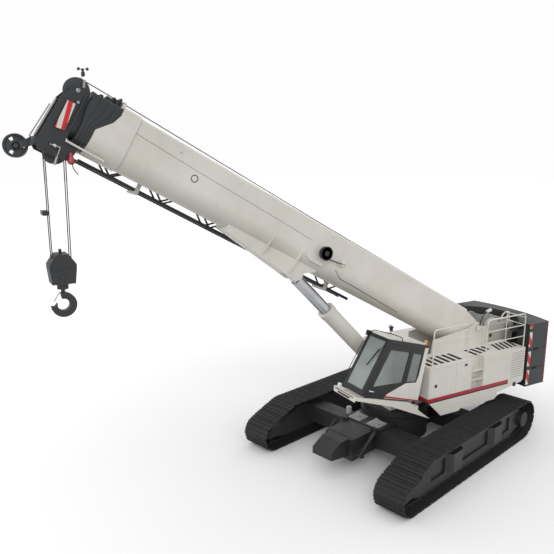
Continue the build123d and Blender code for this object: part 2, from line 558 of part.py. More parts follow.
# ---- boom ----
def boom_face(step):
    """Section outline, inset from the base section by step: flat top, straight sides, round belly."""
    w, top, c = BOOM_HW - step, BOOM_TOP - step, BOOM_CORNER
    k = c * (1 - sqrt(0.5))
    return make_face([
        Line((-w, BOOM_SIDE), (-w, top - c)),
        ThreePointArc((-w, top - c), (-w + k, top - k), (-w + c, top)),
        Line((-w + c, top), (w - c, top)),
        ThreePointArc((w - c, top), (w - k, top - k), (w, top - c)),
        Line((w, top - c), (w, BOOM_SIDE)),
        ThreePointArc((w, BOOM_SIDE), (0, BOOM_SIDE - w), (-w, BOOM_SIDE)),
    ])


def prism(face, s0, s1):
    """A boom section outline drawn out from s0 to s1."""
    return Pos(s0, 0, 0) * extrude(Plane.YZ * face, s1 - s0, dir=(1, 0, 0))


def front_line(k, more):
    """Raked front edge of section k: (s, t) from the top down, moved forward by more."""
    low = BASE_END + RAKE_LOW_S + RAKE_LOW * k + more
    return [
        (BASE_END + RAKE_TOP * k + more, BOOM_TOP + 200), (BASE_END + RAKE_TOP * k + more, 200),
        (BASE_END + RAKE_MID_S + RAKE_MID * k + more, 0), (low, -310), (low, BOOM_BOTTOM - 200),
    ]


def ahead(k, more):
    """Everything in front of a section's raked edge, to cut with."""
    line = front_line(k, more)
    return side_plate(line + [(BASE_END + 4000, line[-1][1]), (BASE_END + 4000, line[0][1])], -900, 900)


def belly_pad(k, s0, s1):
    """Slide pad in the belly of section k under the next one."""
    pad = prism(boom_face(NEST * k + WALL - 2) - boom_face(NEST * (k + 1) - CLEAR), s0, s1)
    return pad & box(s0, s1, -900, 900, BOOM_BOTTOM, BOOM_BOTTOM + 240)


def top_tab(k):
    """Upright rope guide on the top edge of section k."""
    s, low, high = BASE_END + RAKE_TOP * k, BOOM_TOP - COLLAR_IN - 5, BOOM_TOP + TAB_H - TAB_FALL * k
    return side_plate([(s - 90, low), (s - 60, high), (s, high), (s, low)], -170, 170)


def boom_base():
    end = BASE_END + RAKE_LOW_S
    tube = prism(boom_face(0) - boom_face(WALL), 640, end)
    band = prism(boom_face(-26) - boom_face(WALL), BASE_END - 420, end)
    base = tube + band - ahead(0, 0) + belly_pad(0, end - 400, end - 200) + top_tab(0)
    outline = [
        (-150, -130), (-180, 0), (-150, 130), (0, 190), (700, BOOM_TOP - 40), (700, BOOM_SIDE - 80), (420, BOOM_SIDE - 80),
        (0, -190),
    ]
    for y in (BOOM_HW - 50, -BOOM_HW):
        base += side_plate(outline, y, y + 50)
    for y0, y1 in ((BOOM_HW - 50, PLATE_Y - CLEAR), (-PLATE_Y + CLEAR, -BOOM_HW + 50)):
        base += pin_y(0, 0, 150, y0, y1)
    return base - pin_y(0, 0, FOOT_PIN_R + 0.1, -900, 900)


def boom_section(k):
    """Section k with its raked dark collar, upright tab and rear slide pad."""
    end = BASE_END + RAKE_LOW_S + RAKE_LOW * k
    rear = 700 + 60 * k
    last = k == SECTIONS
    front = HEAD_PLATE_S - CLEAR if last else end + 200
    pad_top = BOOM_TOP - NEST * (k - 1) - WALL - CLEAR
    tube = prism(boom_face(NEST * k) - boom_face(NEST * k + WALL), rear, front)
    tube += box(rear, rear + 250, -200, 200, BOOM_TOP - NEST * k - 1, pad_top)
    if last:
        return tube - sheave_gap()
    collar = prism(boom_face(COLLAR_IN) - boom_face(NEST * k + WALL), BASE_END, front)
    collar += top_tab(k)
    section = tube + (collar & ahead(k - 1, RUN)) - ahead(k, 0)
    return section + belly_pad(k, end - 400, end - 200)


def sheave_gap():
    """Room for the tip sheave in the end of the tip section and in the head."""
    return pin_y(TIP_SHEAVE_S, TIP_SHEAVE_T, SHEAVE_R + RUN, TIP_SHEAVE_Y - RUN, TIP_SHEAVE_Y + 60 + RUN)


def boom_saddle():
    """Tapered box under the base section that takes the lift cylinder's rod eye."""
    saddle = side_plate([
        (9150, -560), (9150, -900), (7050, -1190), (LIFT_S, LIFT_T - 140), (LIFT_S - 140, LIFT_T), (LIFT_S - 120, -960),
        (6300, -800), (6300, -560),
    ], -300, 300)
    saddle -= prism(boom_face(-CLEAR), 6000, 9500)
    slot = LIFT_EYE_W / 2 + 5
    return saddle - box(6000, LIFT_S + 320, -slot, slot, LIFT_T - 400, 0)


def sheave(s, t, r, y0, y1, count):
    """Grooved rope wheels side by side on one hub."""
    pitch = (y1 - y0) / count
    wheel = pin_y(s, t, r * 0.4, y0, y1)
    for i in range(count):
        a = y0 + pitch * i
        profile = [(0, a), (r, a), (r * GROOVE, a + pitch * 0.4), (r * GROOVE, a + pitch * 0.6), (r, a + pitch), (0, a + pitch)]
        wheel += Pos(s, 0, t) * revolve(make_face(Polyline(*profile, close=True)), axis=Axis.Y)
    return wheel


def boom_head():
    """Dark head: end plate, two cheeks and their pins, for the tip and fall sheaves."""
    head = prism(boom_face(NEST * SECTIONS - 40), HEAD_PLATE_S, HEAD_PLATE_S + 40)
    outline = [
        (HEAD_PLATE_S, 200), (TIP_SHEAVE_S - 100, TIP_SHEAVE_T + 110), (TIP_SHEAVE_S + 110, TIP_SHEAVE_T + 60),
        (HEAD_S - 70, 0), (HEAD_S, -1100), (HEAD_S - 120, -1190), (FALL_SHEAVE_S - 60, -1190), (HEAD_PLATE_S - 250, -1120),
        (HEAD_PLATE_S - 300, -810), (HEAD_PLATE_S, -790),
    ]
    for y in (CHEEK_Y, -CHEEK_Y - 40):
        head += side_plate(outline, y, y + 40)
    head += box(HEAD_S - 260, HEAD_S - 90, -CHEEK_Y - 1, CHEEK_Y + 1, -760, -640)
    for s, t in ((TIP_SHEAVE_S, TIP_SHEAVE_T), (FALL_SHEAVE_S, FALL_SHEAVE_T)):
        head -= pin_y(s, t, SHEAVE_PIN_R + 0.1, -400, 400)
    head -= pin_y(JIB_PIN_S, JIB_PIN_T, JIB_PIN_R, -400, 400)
    return head - sheave_gap()


def nose_arm():
    """Auxiliary lifting nose bolted to the front of the head."""
    outline = [
        (HEAD_S + CLEAR, -950), (NOSE_SHEAVE_S, NOSE_SHEAVE_T + 90), (NOSE_SHEAVE_S + 90, NOSE_SHEAVE_T),
        (NOSE_SHEAVE_S, NOSE_SHEAVE_T - 90), (HEAD_S + CLEAR, -1180),
    ]
    arm = side_plate([
        (HEAD_S + CLEAR, -950), (HEAD_S + 60, -985), (HEAD_S + 60, -1190), (HEAD_S + CLEAR, -1180),
    ], -CHEEK_Y - 40, CHEEK_Y + 40)
    for y in (NOSE_GAP, -NOSE_GAP - 25):
        arm += side_plate(outline, y, y + 25)
    arm -= pin_y(NOSE_SHEAVE_S, NOSE_SHEAVE_T, NOSE_SHEAVE_R + RUN, -NOSE_GAP, NOSE_GAP)
    return arm - pin_y(NOSE_SHEAVE_S, NOSE_SHEAVE_T, SHEAVE_PIN_R + 0.1, -400, 400)


def fly_jib():
    """Stowed lattice jib beside the boom: four chords with zigzag lacing."""
    chords = [(y, t) for y in (JIB_Y0, JIB_Y1) for t in (JIB_T0, JIB_T1)]
    jib = None
    for y, t in chords:
        bar = box(JIB_S0, JIB_S1, y - JIB_R, y + JIB_R, t - JIB_R, t + JIB_R)
        jib = bar if jib is None else jib + bar
    pitch = (JIB_S1 - JIB_S0 - 200) / JIB_BAYS
    for i in range(JIB_BAYS):
        a, b = JIB_S0 + 100 + pitch * i, JIB_S0 + 100 + pitch * (i + 1)
        up, down = (JIB_T0, JIB_T1) if i % 2 else (JIB_T1, JIB_T0)
        for y in (JIB_Y0, JIB_Y1):
            jib += strut((a, y, up), (b, y, down), JIB_R)
        for t in (JIB_T0, JIB_T1):
            jib += strut((a, JIB_Y0, t), (b, JIB_Y1, t), JIB_R)
    return jib


def jib_brackets():
    """Two stowage hooks that carry the jib on the boom's right side."""
    hooks = []
    for s in (JIB_S0 + 900, JIB_S1 - 1500):
        under = JIB_T0 - JIB_R - CLEAR
        hook = box(s, s + 90, JIB_Y1 + JIB_R + CLEAR, -BOOM_HW - CLEAR, under - 60, JIB_T1 + 320)
        hook += box(s, s + 90, JIB_Y0 - JIB_R, -BOOM_HW - CLEAR, under - 60, under)
        hooks.append(hook)
    return Compound(hooks)


def save_boom():
    save("boom_base", on_boom(boom_base()))
    for k in range(1, SECTIONS + 1):
        save(f"boom_section_{k}", on_boom(boom_section(k)))
    save("boom_saddle", on_boom(boom_saddle()))
    save("boom_head", on_boom(boom_head()))
    tip = sheave(TIP_SHEAVE_S, TIP_SHEAVE_T, SHEAVE_R, TIP_SHEAVE_Y, TIP_SHEAVE_Y + 60, 1)
    save("tip_sheave", on_boom(tip + pin_y(TIP_SHEAVE_S, TIP_SHEAVE_T, SHEAVE_PIN_R, -CHEEK_Y - 40, CHEEK_Y + 40)))
    falls = sheave(FALL_SHEAVE_S, FALL_SHEAVE_T, FALL_SHEAVE_R, -1.5 * FALL_Y, 1.5 * FALL_Y, FALL_SHEAVES)
    save("fall_sheaves", on_boom(falls + pin_y(FALL_SHEAVE_S, FALL_SHEAVE_T, SHEAVE_PIN_R, -CHEEK_Y - 40, CHEEK_Y + 40)))
    save("nose_arm", on_boom(nose_arm()))
    nose = sheave(NOSE_SHEAVE_S, NOSE_SHEAVE_T, NOSE_SHEAVE_R, -NOSE_GAP + RUN, NOSE_GAP - RUN, 1)
    save("nose_sheave", on_boom(nose + pin_y(NOSE_SHEAVE_S, NOSE_SHEAVE_T, SHEAVE_PIN_R, -NOSE_GAP - 25, NOSE_GAP + 25)))
    save("fly_jib", on_boom(fly_jib()))
    save("jib_brackets", on_boom(jib_brackets()))
    reel = pin_y(REEL_S, REEL_T, 170, BOOM_HW + 90, BOOM_HW + 190) + pin_y(REEL_S, REEL_T, 45, BOOM_HW + CLEAR, BOOM_HW + 95)
    save("cable_reel", on_boom(reel))


# ---- lift cylinder ----
def save_lift():
    px, pz = boom_point(LIFT_S, LIFT_T)
    length = hypot(px - LIFT_FOOT_X, pz - LIFT_FOOT_Z)
    angle = degrees(atan2(pz - LIFT_FOOT_Z, px - LIFT_FOOT_X))
    half = LIFT_EYE_W / 2
    barrel = pin_y(0, 0, 115, -half, half) + box(0, 200, -half, half, -90, 90)
    taper = Cone(100, BARREL_R, NECK_L - LUG_R - 20, align=(Align.CENTER, Align.CENTER, Align.MIN))
    barrel += Pos(LUG_R + 20, 0, 0) * Rot(0, 90, 0) * taper
    barrel += rod((NECK_L - 5, 0, 0), (BARREL_L, 0, 0), BARREL_R)
    barrel += rod((BARREL_L - 160, 0, 0), (BARREL_L, 0, 0), BARREL_R + 18)
    barrel -= rod((NECK_L, 0, 0), (BARREL_L - 90, 0, 0), BARREL_BORE)
    barrel -= rod((BARREL_L - 100, 0, 0), (BARREL_L + 1, 0, 0), ROD_R + CLEAR)
    barrel -= pin_y(0, 0, LIFT_PIN_R + 0.1, -200, 200)
    save("lift_barrel", turned(barrel, LIFT_FOOT_X, LIFT_FOOT_Z, angle))
    closed = hypot(PIVOT_X + LIFT_S - LIFT_FOOT_X, PIVOT_Z + LIFT_T - LIFT_FOOT_Z)
    inner = NECK_L + 10 + PISTON_L + length - closed
    ram = rod((inner, 0, 0), (length - 190, 0, 0), ROD_R)
    ram += box(length - 200, length, -half, half, -120, 120) + pin_y(length, 0, LIFT_EYE_R, -half, half)
    ram += pin_y(length, 0, LIFT_PIN_R, -half - 5 + CLEAR, half + 5 - CLEAR)
    save("lift_rod", turned(ram, LIFT_FOOT_X, LIFT_FOOT_Z, angle))
    piston = rod((inner - CLEAR - PISTON_L, 0, 0), (inner - CLEAR, 0, 0), BARREL_BORE - CLEAR)
    save("lift_piston", turned(piston, LIFT_FOOT_X, LIFT_FOOT_Z, angle))


# ---- hook block ----
def save_hook():
    x, z = boom_point(FALL_SHEAVE_S, FALL_SHEAVE_T)
    top = z - FALL_L
    off = FALL_SHEAVE_R * GROOVE + ROPE_R + CLEAR
    lines = []
    for side in (-1, 1):
        for y in (-FALL_Y, FALL_Y):
            lines.append(((x + side * off, y, z), (x + side * BLOCK_W * 0.34, y, top - 200)))
    save("hoist_falls", Compound([rod(p, q, ROPE_R) for p, q in lines]))
    half = BLOCK_W / 2
    plate = [
        (x - half * 0.45, top), (x + half * 0.45, top), (x + half, top - 220), (x + half, top - 300), (x + half * 0.86, top - BLOCK_H),
        (x - half * 0.86, top - BLOCK_H), (x - half, top - 300), (x - half, top - 220),
    ]
    block = side_plate(plate, -BLOCK_T / 2, BLOCK_T / 2)
    low = top - BLOCK_H
    block += rod((x, 0, low + 1), (x, 0, low - 130), 120)
    block -= rod((x, 0, low - 131), (x, 0, low - 40), SHANK_R + 0.1)
    for p, q in lines:
        block -= rod(p, q, ROPE_R + CLEAR)
    save("hook_block", block)
    bowl = Circle(HOOK_R + HOOK_T) - Pos(10, 5) * Circle(HOOK_R - HOOK_T)
    mouth = make_face(Polyline((20, 60), (90, 400), (400, 400), (400, -20), (190, -20), (120, 60), close=True))
    face = Plane.XZ * (bowl - mouth)
    forging = extrude(face, HOOK_W / 2, dir=(0, 1, 0)) + extrude(face, HOOK_W / 2, dir=(0, -1, 0))
    shank = rod((x, 0, top - HOOK_DROP + HOOK_R - 20), (x, 0, low - 40 - CLEAR), SHANK_R)
    save("hook", Pos(x, 0, top - HOOK_DROP) * forging + shank)


# ---- cab ----
def cab_edge(front, z):
    """X of the cab's rear (0) or front (1) edge at height z."""
    if front:
        return CAB_L - (CAB_L - CAB_ROOF_X1) * (z - CAB_BASE) / CAB_H
    return CAB_ROOF_X0 * (z - CAB_BASE) / CAB_H


def cab_outline(inset):
    """Side outline of the cab, inset from its four edges."""
    base, roof = CAB_BASE + inset, CAB_BASE + CAB_H - inset
    return [
        (cab_edge(0, base) + inset, base), (cab_edge(1, base) - inset, base),
        (cab_edge(1, roof) - inset, roof), (cab_edge(0, roof) + inset, roof),
    ]


def cab_pane(corners, by, y0, y1):
    """A block with the outline of a side opening, shrunk by a margin all round."""
    outline = make_face(Polyline(*[(cab_edge(ref, z) + off, z) for ref, off, z in corners], close=True))
    if by:
        outline = offset(outline, -by, kind=Kind.INTERSECTION)
    return Pos(0, y0, 0) * extrude(Plane.XZ * outline, y1 - y0, dir=(0, 1, 0))


def front_window(inset, depth0, depth1):
    """Windscreen opening or pane, cut square through the raked front."""
    rake = atan2(CAB_L - CAB_ROOF_X1, CAB_H)
    long = CAB_H / cos(rake)
    y0, y1 = CAB_IN + FRONT_SIDE + inset, CAB_OUT - FRONT_SIDE - inset
    pane = box(-depth1, -depth0, y0, y1, FRONT_LOW + inset, long - FRONT_HIGH - inset)
    return Pos(CAB_L, 0, CAB_BASE) * Rot(0, -degrees(rake), 0) * pane


def cab_shell():
    """Pillars, rear wall, right wall and sills around the openings."""
    shell = side_plate(cab_outline(0), CAB_IN, CAB_OUT)
    shell -= side_plate(cab_outline(CAB_SKIN), CAB_IN + CAB_SKIN, CAB_OUT - CAB_SKIN)
    shell -= front_window(0, -50, 120)
    for corners, y0, y1 in (
        (DOOR, CAB_OUT - 100, CAB_OUT + 50), (QUARTER_PANE, CAB_OUT - 100, CAB_OUT + 50), (RIGHT_PANE, CAB_IN - 50, CAB_IN + 100),
    ):
        shell -= cab_pane(corners, 0, y0, y1)
    return shell - hinges(cab_hinge_line(), CLEAR)


def cab_hinge_line():
    """Rear edge of the cab door, on its outer face."""
    (_, low_off, low), (_, high_off, high) = DOOR[0], DOOR[-1]
    return (cab_edge(0, low) + low_off + RUN, CAB_OUT, low), (cab_edge(0, high) + high_off + RUN, CAB_OUT, high)


def save_cab():
    save("cab_shell", on_cab(cab_shell()))
    ears = None
    for y in CAB_LUGS:
        ear = box(-50, 50, y + 60 + CLEAR, y + 110, -50, CAB_BASE - CLEAR) + pin_y(0, 0, CAB_PIN_R, y, y + 100)
        ears = ear if ears is None else ears + ear
    tray = box(-20, CAB_L - 170, CAB_IN + 60, CAB_OUT - 65, CAB_BASE - 12, CAB_BASE - CLEAR)
    tray += box(100, CAB_L - 170, CAB_IN + 200, CAB_IN + 280, CAB_BASE - 90, CAB_BASE - 11)
    tray += box(100, CAB_L - 170, CAB_OUT - 300, CAB_OUT - 220, CAB_BASE - 90, CAB_BASE - 11)
    save("cab_tray", on_cab(ears + tray))
    panes = [front_window(CLEAR, 20, 20 + GLASS)]
    for corners, y0 in ((QUARTER_PANE, CAB_OUT - 30), (RIGHT_PANE, CAB_IN + 20)):
        panes.append(cab_pane(corners, CLEAR, y0, y0 + GLASS))
    save("cab_glass", on_cab(Compound(panes)))
    door = cab_pane(DOOR, RUN, CAB_OUT - CAB_SKIN, CAB_OUT) - cab_pane(DOOR_PANE, 0, CAB_OUT - 100, CAB_OUT + 50)
    save("cab_door", on_cab(door + hinges(cab_hinge_line(), 0)))
    save("cab_door_glass", on_cab(cab_pane(DOOR_PANE, CLEAR, CAB_OUT - 30, CAB_OUT - 30 + GLASS)))
    y = (CAB_IN + CAB_OUT) / 2
    floor = CAB_BASE + CAB_SKIN + CLEAR
    seat = box(550, 650, y - 230, y + 230, floor + 420, floor + 1050) + box(550, 1080, y - 240, y + 240, floor + 330, floor + 460)
    seat += box(650, 950, y - 160, y + 160, floor, floor + 340)
    save("operator_seat", on_cab(seat))
    walk = side_plate([
        (-640, -400), (900, -150), (CAB_L + 150, -70), (CAB_L + 150, 20), (300, 20), (-100, -170),
    ], CAB_OUT - 60, CAB_OUT)
    walk += box(CAB_L - 100, CAB_L + 150, CAB_IN - 150, CAB_OUT, -70, 20)
    walk -= box(CAB_L + 50, CAB_L + 151, CAB_IN - 110, CAB_OUT - 110, -50, 2)
    walk += box(CAB_L - 160, CAB_L - 60, CAB_IN + 80, CAB_OUT - 80, -60, CAB_BASE - CLEAR)
    save("cab_catwalk", on_cab(walk))


os.makedirs("parts", exist_ok=True)
save_undercarriage()
save_superstructure()
save_boom()
save_lift()
save_hook()
save_cab()
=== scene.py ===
import json
import math

import bmesh
import bpy
from mathutils import Matrix, Vector


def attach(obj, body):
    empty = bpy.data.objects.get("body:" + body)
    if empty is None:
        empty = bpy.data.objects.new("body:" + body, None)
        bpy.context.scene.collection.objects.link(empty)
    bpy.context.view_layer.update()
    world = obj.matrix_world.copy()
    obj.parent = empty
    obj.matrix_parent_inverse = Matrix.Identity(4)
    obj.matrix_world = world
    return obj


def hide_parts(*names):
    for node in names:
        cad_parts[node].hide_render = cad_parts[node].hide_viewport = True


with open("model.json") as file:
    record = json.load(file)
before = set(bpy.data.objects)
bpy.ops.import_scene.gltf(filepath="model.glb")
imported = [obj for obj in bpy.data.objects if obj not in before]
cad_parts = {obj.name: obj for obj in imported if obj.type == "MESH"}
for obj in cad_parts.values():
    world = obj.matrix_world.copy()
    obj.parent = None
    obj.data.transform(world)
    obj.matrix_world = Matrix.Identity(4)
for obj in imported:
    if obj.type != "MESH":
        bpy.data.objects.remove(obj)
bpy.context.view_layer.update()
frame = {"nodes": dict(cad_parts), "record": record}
nodes = frame["nodes"]


# hex sRGB to linear
def toLinear(text, alpha=1.0):
    values = [int(text[i:i + 2], 16) / 255 for i in (1, 3, 5)]
    return [v / 12.92 if v <= 0.04045 else ((v + 0.055) / 1.055) ** 2.4 for v in values] + [alpha]


# one shader node with its inputs set or linked
def addNode(tree, kind, inputs=None, **settings):
    node = tree.nodes.new(kind)
    for key, value in settings.items():
        setattr(node, key, value)
    for key, value in (inputs or {}).items():
        if isinstance(value, bpy.types.NodeSocket):
            tree.links.new(value, node.inputs[key])
        else:
            node.inputs[key].default_value = value
    return node


# blends two colours by a factor socket
def mixColour(tree, factor, first, second):
    mix = addNode(tree, "ShaderNodeMix", data_type="RGBA")
    for index, value in ((0, factor), (6, first), (7, second)):
        if isinstance(value, bpy.types.NodeSocket):
            tree.links.new(value, mix.inputs[index])
        else:
            mix.inputs[index].default_value = value
    return mix.outputs[2]


# a noise value in real metres, squeezed between two levels
def noiseBand(tree, place, size, low, high, detail=4.0, rough=0.6):
    noise = addNode(tree, "ShaderNodeTexNoise",
                    {"Vector": place, "Scale": 1 / size, "Detail": detail, "Roughness": rough})
    band = addNode(tree, "ShaderNodeMapRange",
                   {"Value": noise.outputs["Fac"], "From Min": low, "From Max": high})
    return band.outputs["Result"]


# paint or metal: broad patches of a second shade, streaks of dust and a fine grain
def surface(name, colour, look):
    material = bpy.data.materials.new(name)
    material.use_nodes = True
    tree = material.node_tree
    shader = tree.nodes["Principled BSDF"]
    place = addNode(tree, "ShaderNodeTexCoord").outputs["Object"]
    shade = noiseBand(tree, place, look["patch"], 0.35, 0.7)
    base = mixColour(tree, shade, toLinear(colour), toLinear(look["second"]))
    stretch = addNode(tree, "ShaderNodeMapping", {"Vector": place, "Scale": (1, 1, 0.12)})
    streak = noiseBand(tree, stretch.outputs[0], look["streak"], 0.56, 0.78, 6.0, 0.7)
    dirty = addNode(tree, "ShaderNodeMath", {0: streak, 1: look["dirt"]}, operation="MULTIPLY")
    base = mixColour(tree, dirty.outputs[0], base, toLinear(look["dust"]))
    tree.links.new(base, shader.inputs["Base Color"])
    shader.inputs["Metallic"].default_value = look["metal"]
    shader.inputs["IOR"].default_value = 1.5
    shader.inputs["Coat Weight"].default_value = look["coat"]
    shader.inputs["Coat Roughness"].default_value = 0.15
    gloss = addNode(tree, "ShaderNodeMapRange",
                    {"Value": shade, "To Min": look["rough"] - 0.06, "To Max": look["rough"] + 0.08})
    tree.links.new(gloss.outputs["Result"], shader.inputs["Roughness"])
    grain = addNode(tree, "ShaderNodeTexNoise", {"Vector": place, "Scale": 1 / look["grain"], "Detail": 3.0})
    bump = addNode(tree, "ShaderNodeBump",
                   {"Height": grain.outputs["Fac"], "Strength": look["bump"], "Distance": look["depth"]})
    tree.links.new(bump.outputs["Normal"], shader.inputs["Normal"])
    return material


paintLook = {"second": "#C6C2BA", "patch": 1.8, "streak": 0.12, "dirt": 0.20, "dust": "#8E8676",
             "metal": 0.0, "coat": 0.15, "rough": 0.42, "grain": 0.02, "bump": 0.10, "depth": 0.002}
darkLook = {"second": "#1B1C1D", "patch": 1.2, "streak": 0.15, "dirt": 0.14, "dust": "#4A4742",
            "metal": 0.0, "coat": 0.0, "rough": 0.52, "grain": 0.015, "bump": 0.15, "depth": 0.002}
steelLook = {"second": "#232322", "patch": 0.5, "streak": 0.10, "dirt": 0.35, "dust": "#4A443D",
             "metal": 0.2, "coat": 0.0, "rough": 0.6, "grain": 0.008, "bump": 0.35, "depth": 0.003}

# pale body with a dull shine
whitePaint = surface("warm white enamel, sprayed", "#D5D1CA", paintLook)
# near-black frames and carbody
charcoalPaint = surface("charcoal chassis enamel", "#232425", darkLook)
# head and collars a shade darker than the frames
headPaint = surface("dark grey head enamel", "#222426", dict(darkLook, second="#1C1E20"))
# heavy dark slabs
weightPaint = surface("counterweight enamel", "#292B2C", dict(darkLook, second="#232526"))
# sheaves stand out from the head
castGrey = surface("grey cast iron, painted", "#34373A", dict(darkLook, second="#2C2E31"))
# pillars and door frame, the blackest part
cabBlack = surface("satin black cab enamel", "#0D0D0F", dict(darkLook, second="#18191B", rough=0.4))
# rough dark shoes under dust
trackSteel = surface("oiled cast track steel", "#262626", steelLook)
# bright small bars and pins that catch the light
bareSteel = surface("bare machined steel", "#9C9C9C",
                    dict(steelLook, second="#86868A", metal=0.9, rough=0.35, dirt=0.2, bump=0.05))
# the brightest metal, with a sharp glint along the rod
rodChrome = surface("hard chrome, ground", "#B4B6B8",
                    dict(steelLook, second="#A6A8AB", metal=1.0, rough=0.22, dirt=0.12, bump=0.01))
# pale dull floats on the dark carbody
padAlloy = surface("cast alloy", "#A9AAAA",
                   dict(steelLook, second="#98999A", metal=0.2, rough=0.5, dirt=0.2, bump=0.1))
# paler than the slabs behind it
winchPaint = surface("grey winch enamel", "#B8B8B0", dict(paintLook, second="#96968E"))
# near-black trim with a soft sheen
trimPlastic = surface("black moulded polypropylene", "#17181A", dict(darkLook, second="#1C1D1F", rough=0.45))
# dull dark cushions behind the glass
seatFabric = surface("woven seat cloth", "#1F2124",
                     dict(darkLook, second="#282B30", rough=0.85, grain=0.004, bump=0.5))
# thin dark lines with a broken glint
wireRope = surface("oiled wire rope", "#4A4944",
                   dict(steelLook, second="#3C3B37", metal=0.6, rough=0.5, grain=0.006, bump=0.8))

# grey-green tinted glass, paler toward the windscreen
glassSizes = {"film": 0.6, "sideEnd": 1.3, "screenStart": 2.1}


def glassPane(name, colour):
    material = bpy.data.materials.new(name)
    material.use_nodes = True
    tree = material.node_tree
    shader = tree.nodes["Principled BSDF"]
    place = addNode(tree, "ShaderNodeTexCoord").outputs["Object"]
    film = noiseBand(tree, place, glassSizes["film"], 0.4, 0.8)
    split = addNode(tree, "ShaderNodeSeparateXYZ", {0: place})
    forward = addNode(tree, "ShaderNodeMapRange",
                      {"Value": split.outputs["X"], "From Min": glassSizes["sideEnd"],
                       "From Max": glassSizes["screenStart"]})
    side = mixColour(tree, film, toLinear(colour), toLinear("#8A918D"))
    front = mixColour(tree, film, toLinear("#BCC6C1"), toLinear("#A9B3AE"))
    tree.links.new(mixColour(tree, forward.outputs["Result"], side, front), shader.inputs["Base Color"])
    shader.inputs["Roughness"].default_value = 0.05
    shader.inputs["IOR"].default_value = 1.5
    shader.inputs["Transmission Weight"].default_value = 0.4
    shader.inputs["Alpha"].default_value = 0.88
    return material


cabGlass = glassPane("tinted cab glass", "#989F9B")

slotMaterials = {
    "white_paint": whitePaint, "charcoal_paint": charcoalPaint, "head_paint": headPaint, "track_steel": trackSteel,
    "weight_paint": weightPaint, "bare_steel": bareSteel, "rod_chrome": rodChrome, "pad_aluminium": padAlloy,
    "cab_glass": cabGlass, "cab_trim": trimPlastic, "seat_fabric": seatFabric, "wire_rope": wireRope,
    "reel_rubber": trimPlastic, "winch_paint": winchPaint,
}
nodeMaterials = {"cab_shell": cabBlack, "cab_door": cabBlack, "tip_sheave": castGrey,
                 "fall_sheaves": castGrey, "nose_arm": castGrey}
for entry in frame["record"]["subparts"]:
    mesh = nodes[entry["node"]].data
    mesh.materials.clear()
    mesh.materials.append(nodeMaterials.get(entry["node"], slotMaterials[entry["material_slot"]]))
print("materials done")


# local frames: along the boom, in the tilted cab, and on the turned tracks
def tilted(origin, degrees):
    return Matrix.Translation(origin) @ Matrix.Rotation(-math.radians(degrees), 4, "Y")


boomFrame = tilted((-2.76, 0, 3.29), 28.35)
cabFrame = tilted((0.44, 0, 1.78), 15.6)
trackFrame = Matrix.Rotation(math.radians(14.75), 4, "Z")
upperFrame = Matrix.Identity(4)


# turns a bmesh into a piece of the object
def makePiece(name, form, body, material, place=upperFrame, replace=(), bevel=0.0, smooth=False):
    form.transform(place)
    bmesh.ops.recalc_face_normals(form, faces=form.faces)
    mesh = bpy.data.meshes.new(name)
    form.to_mesh(mesh)
    form.free()
    piece = bpy.data.objects.new(name, mesh)
    bpy.context.scene.collection.objects.link(piece)
    mesh.materials.append(material)
    if bevel:
        edge = piece.modifiers.new("edge", "BEVEL")
        edge.width = bevel
        edge.segments = 2
        edge.limit_method = "ANGLE"
    if smooth:
        mesh.shade_smooth()
        if not bevel:
            mesh.set_sharp_from_angle(angle=math.radians(35))
    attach(piece, body)
    if replace:
        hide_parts(*replace)
    return piece


# block between any two opposite corners
def addBlock(form, one, other):
    size = [abs(b - a) for a, b in zip(one, other)]
    middle = [(a + b) / 2 for a, b in zip(one, other)]
    matrix = Matrix.Translation(middle) @ Matrix.Diagonal((*size, 1))
    bmesh.ops.create_cube(form, size=1, matrix=matrix)


# round bar from one point to another
def addBar(form, start, end, radius, sides=16):
    start, end = Vector(start), Vector(end)
    along = end - start
    matrix = Matrix.Translation((start + end) / 2) @ along.to_track_quat("Z", "Y").to_matrix().to_4x4()
    bmesh.ops.create_cone(form, cap_ends=True, segments=sides, radius1=radius, radius2=radius,
                          depth=along.length, matrix=matrix)


# straight bars end to end
def addChain(form, points, radius, sides):
    for start, end in zip(points, points[1:]):
        addBar(form, start, end, radius, sides)


# plate whose outline is given in two axes and which is deep along the third
def addPlate(form, outline, low, high, axis="y"):
    def point(a, b, c):
        return {"y": (a, c, b), "z": (a, b, c), "x": (c, a, b)}[axis]
    first = [form.verts.new(point(a, b, low)) for a, b in outline]
    second = [form.verts.new(point(a, b, high)) for a, b in outline]
    form.faces.new(first)
    form.faces.new(second[::-1])
    count = len(outline)
    for i in range(count):
        j = (i + 1) % count
        form.faces.new((first[i], second[i], second[j], first[j]))


# points of a circle about the origin
def circle(radius, sides):
    turns = [2 * math.pi * k / sides for k in range(sides)]
    return [(radius * math.cos(turn), radius * math.sin(turn)) for turn in turns]


# quads between one ring of vertices and the next
def addSkin(form, rings):
    for one, two in zip(rings, rings[1:]):
        for k in range(len(one)):
            j = (k + 1) % len(one)
            form.faces.new((one[k], one[j], two[j], two[k]))


# the two end faces of a row of rings
def addCaps(form, rings):
    form.faces.new(rings[0][::-1])
    form.faces.new(rings[-1])


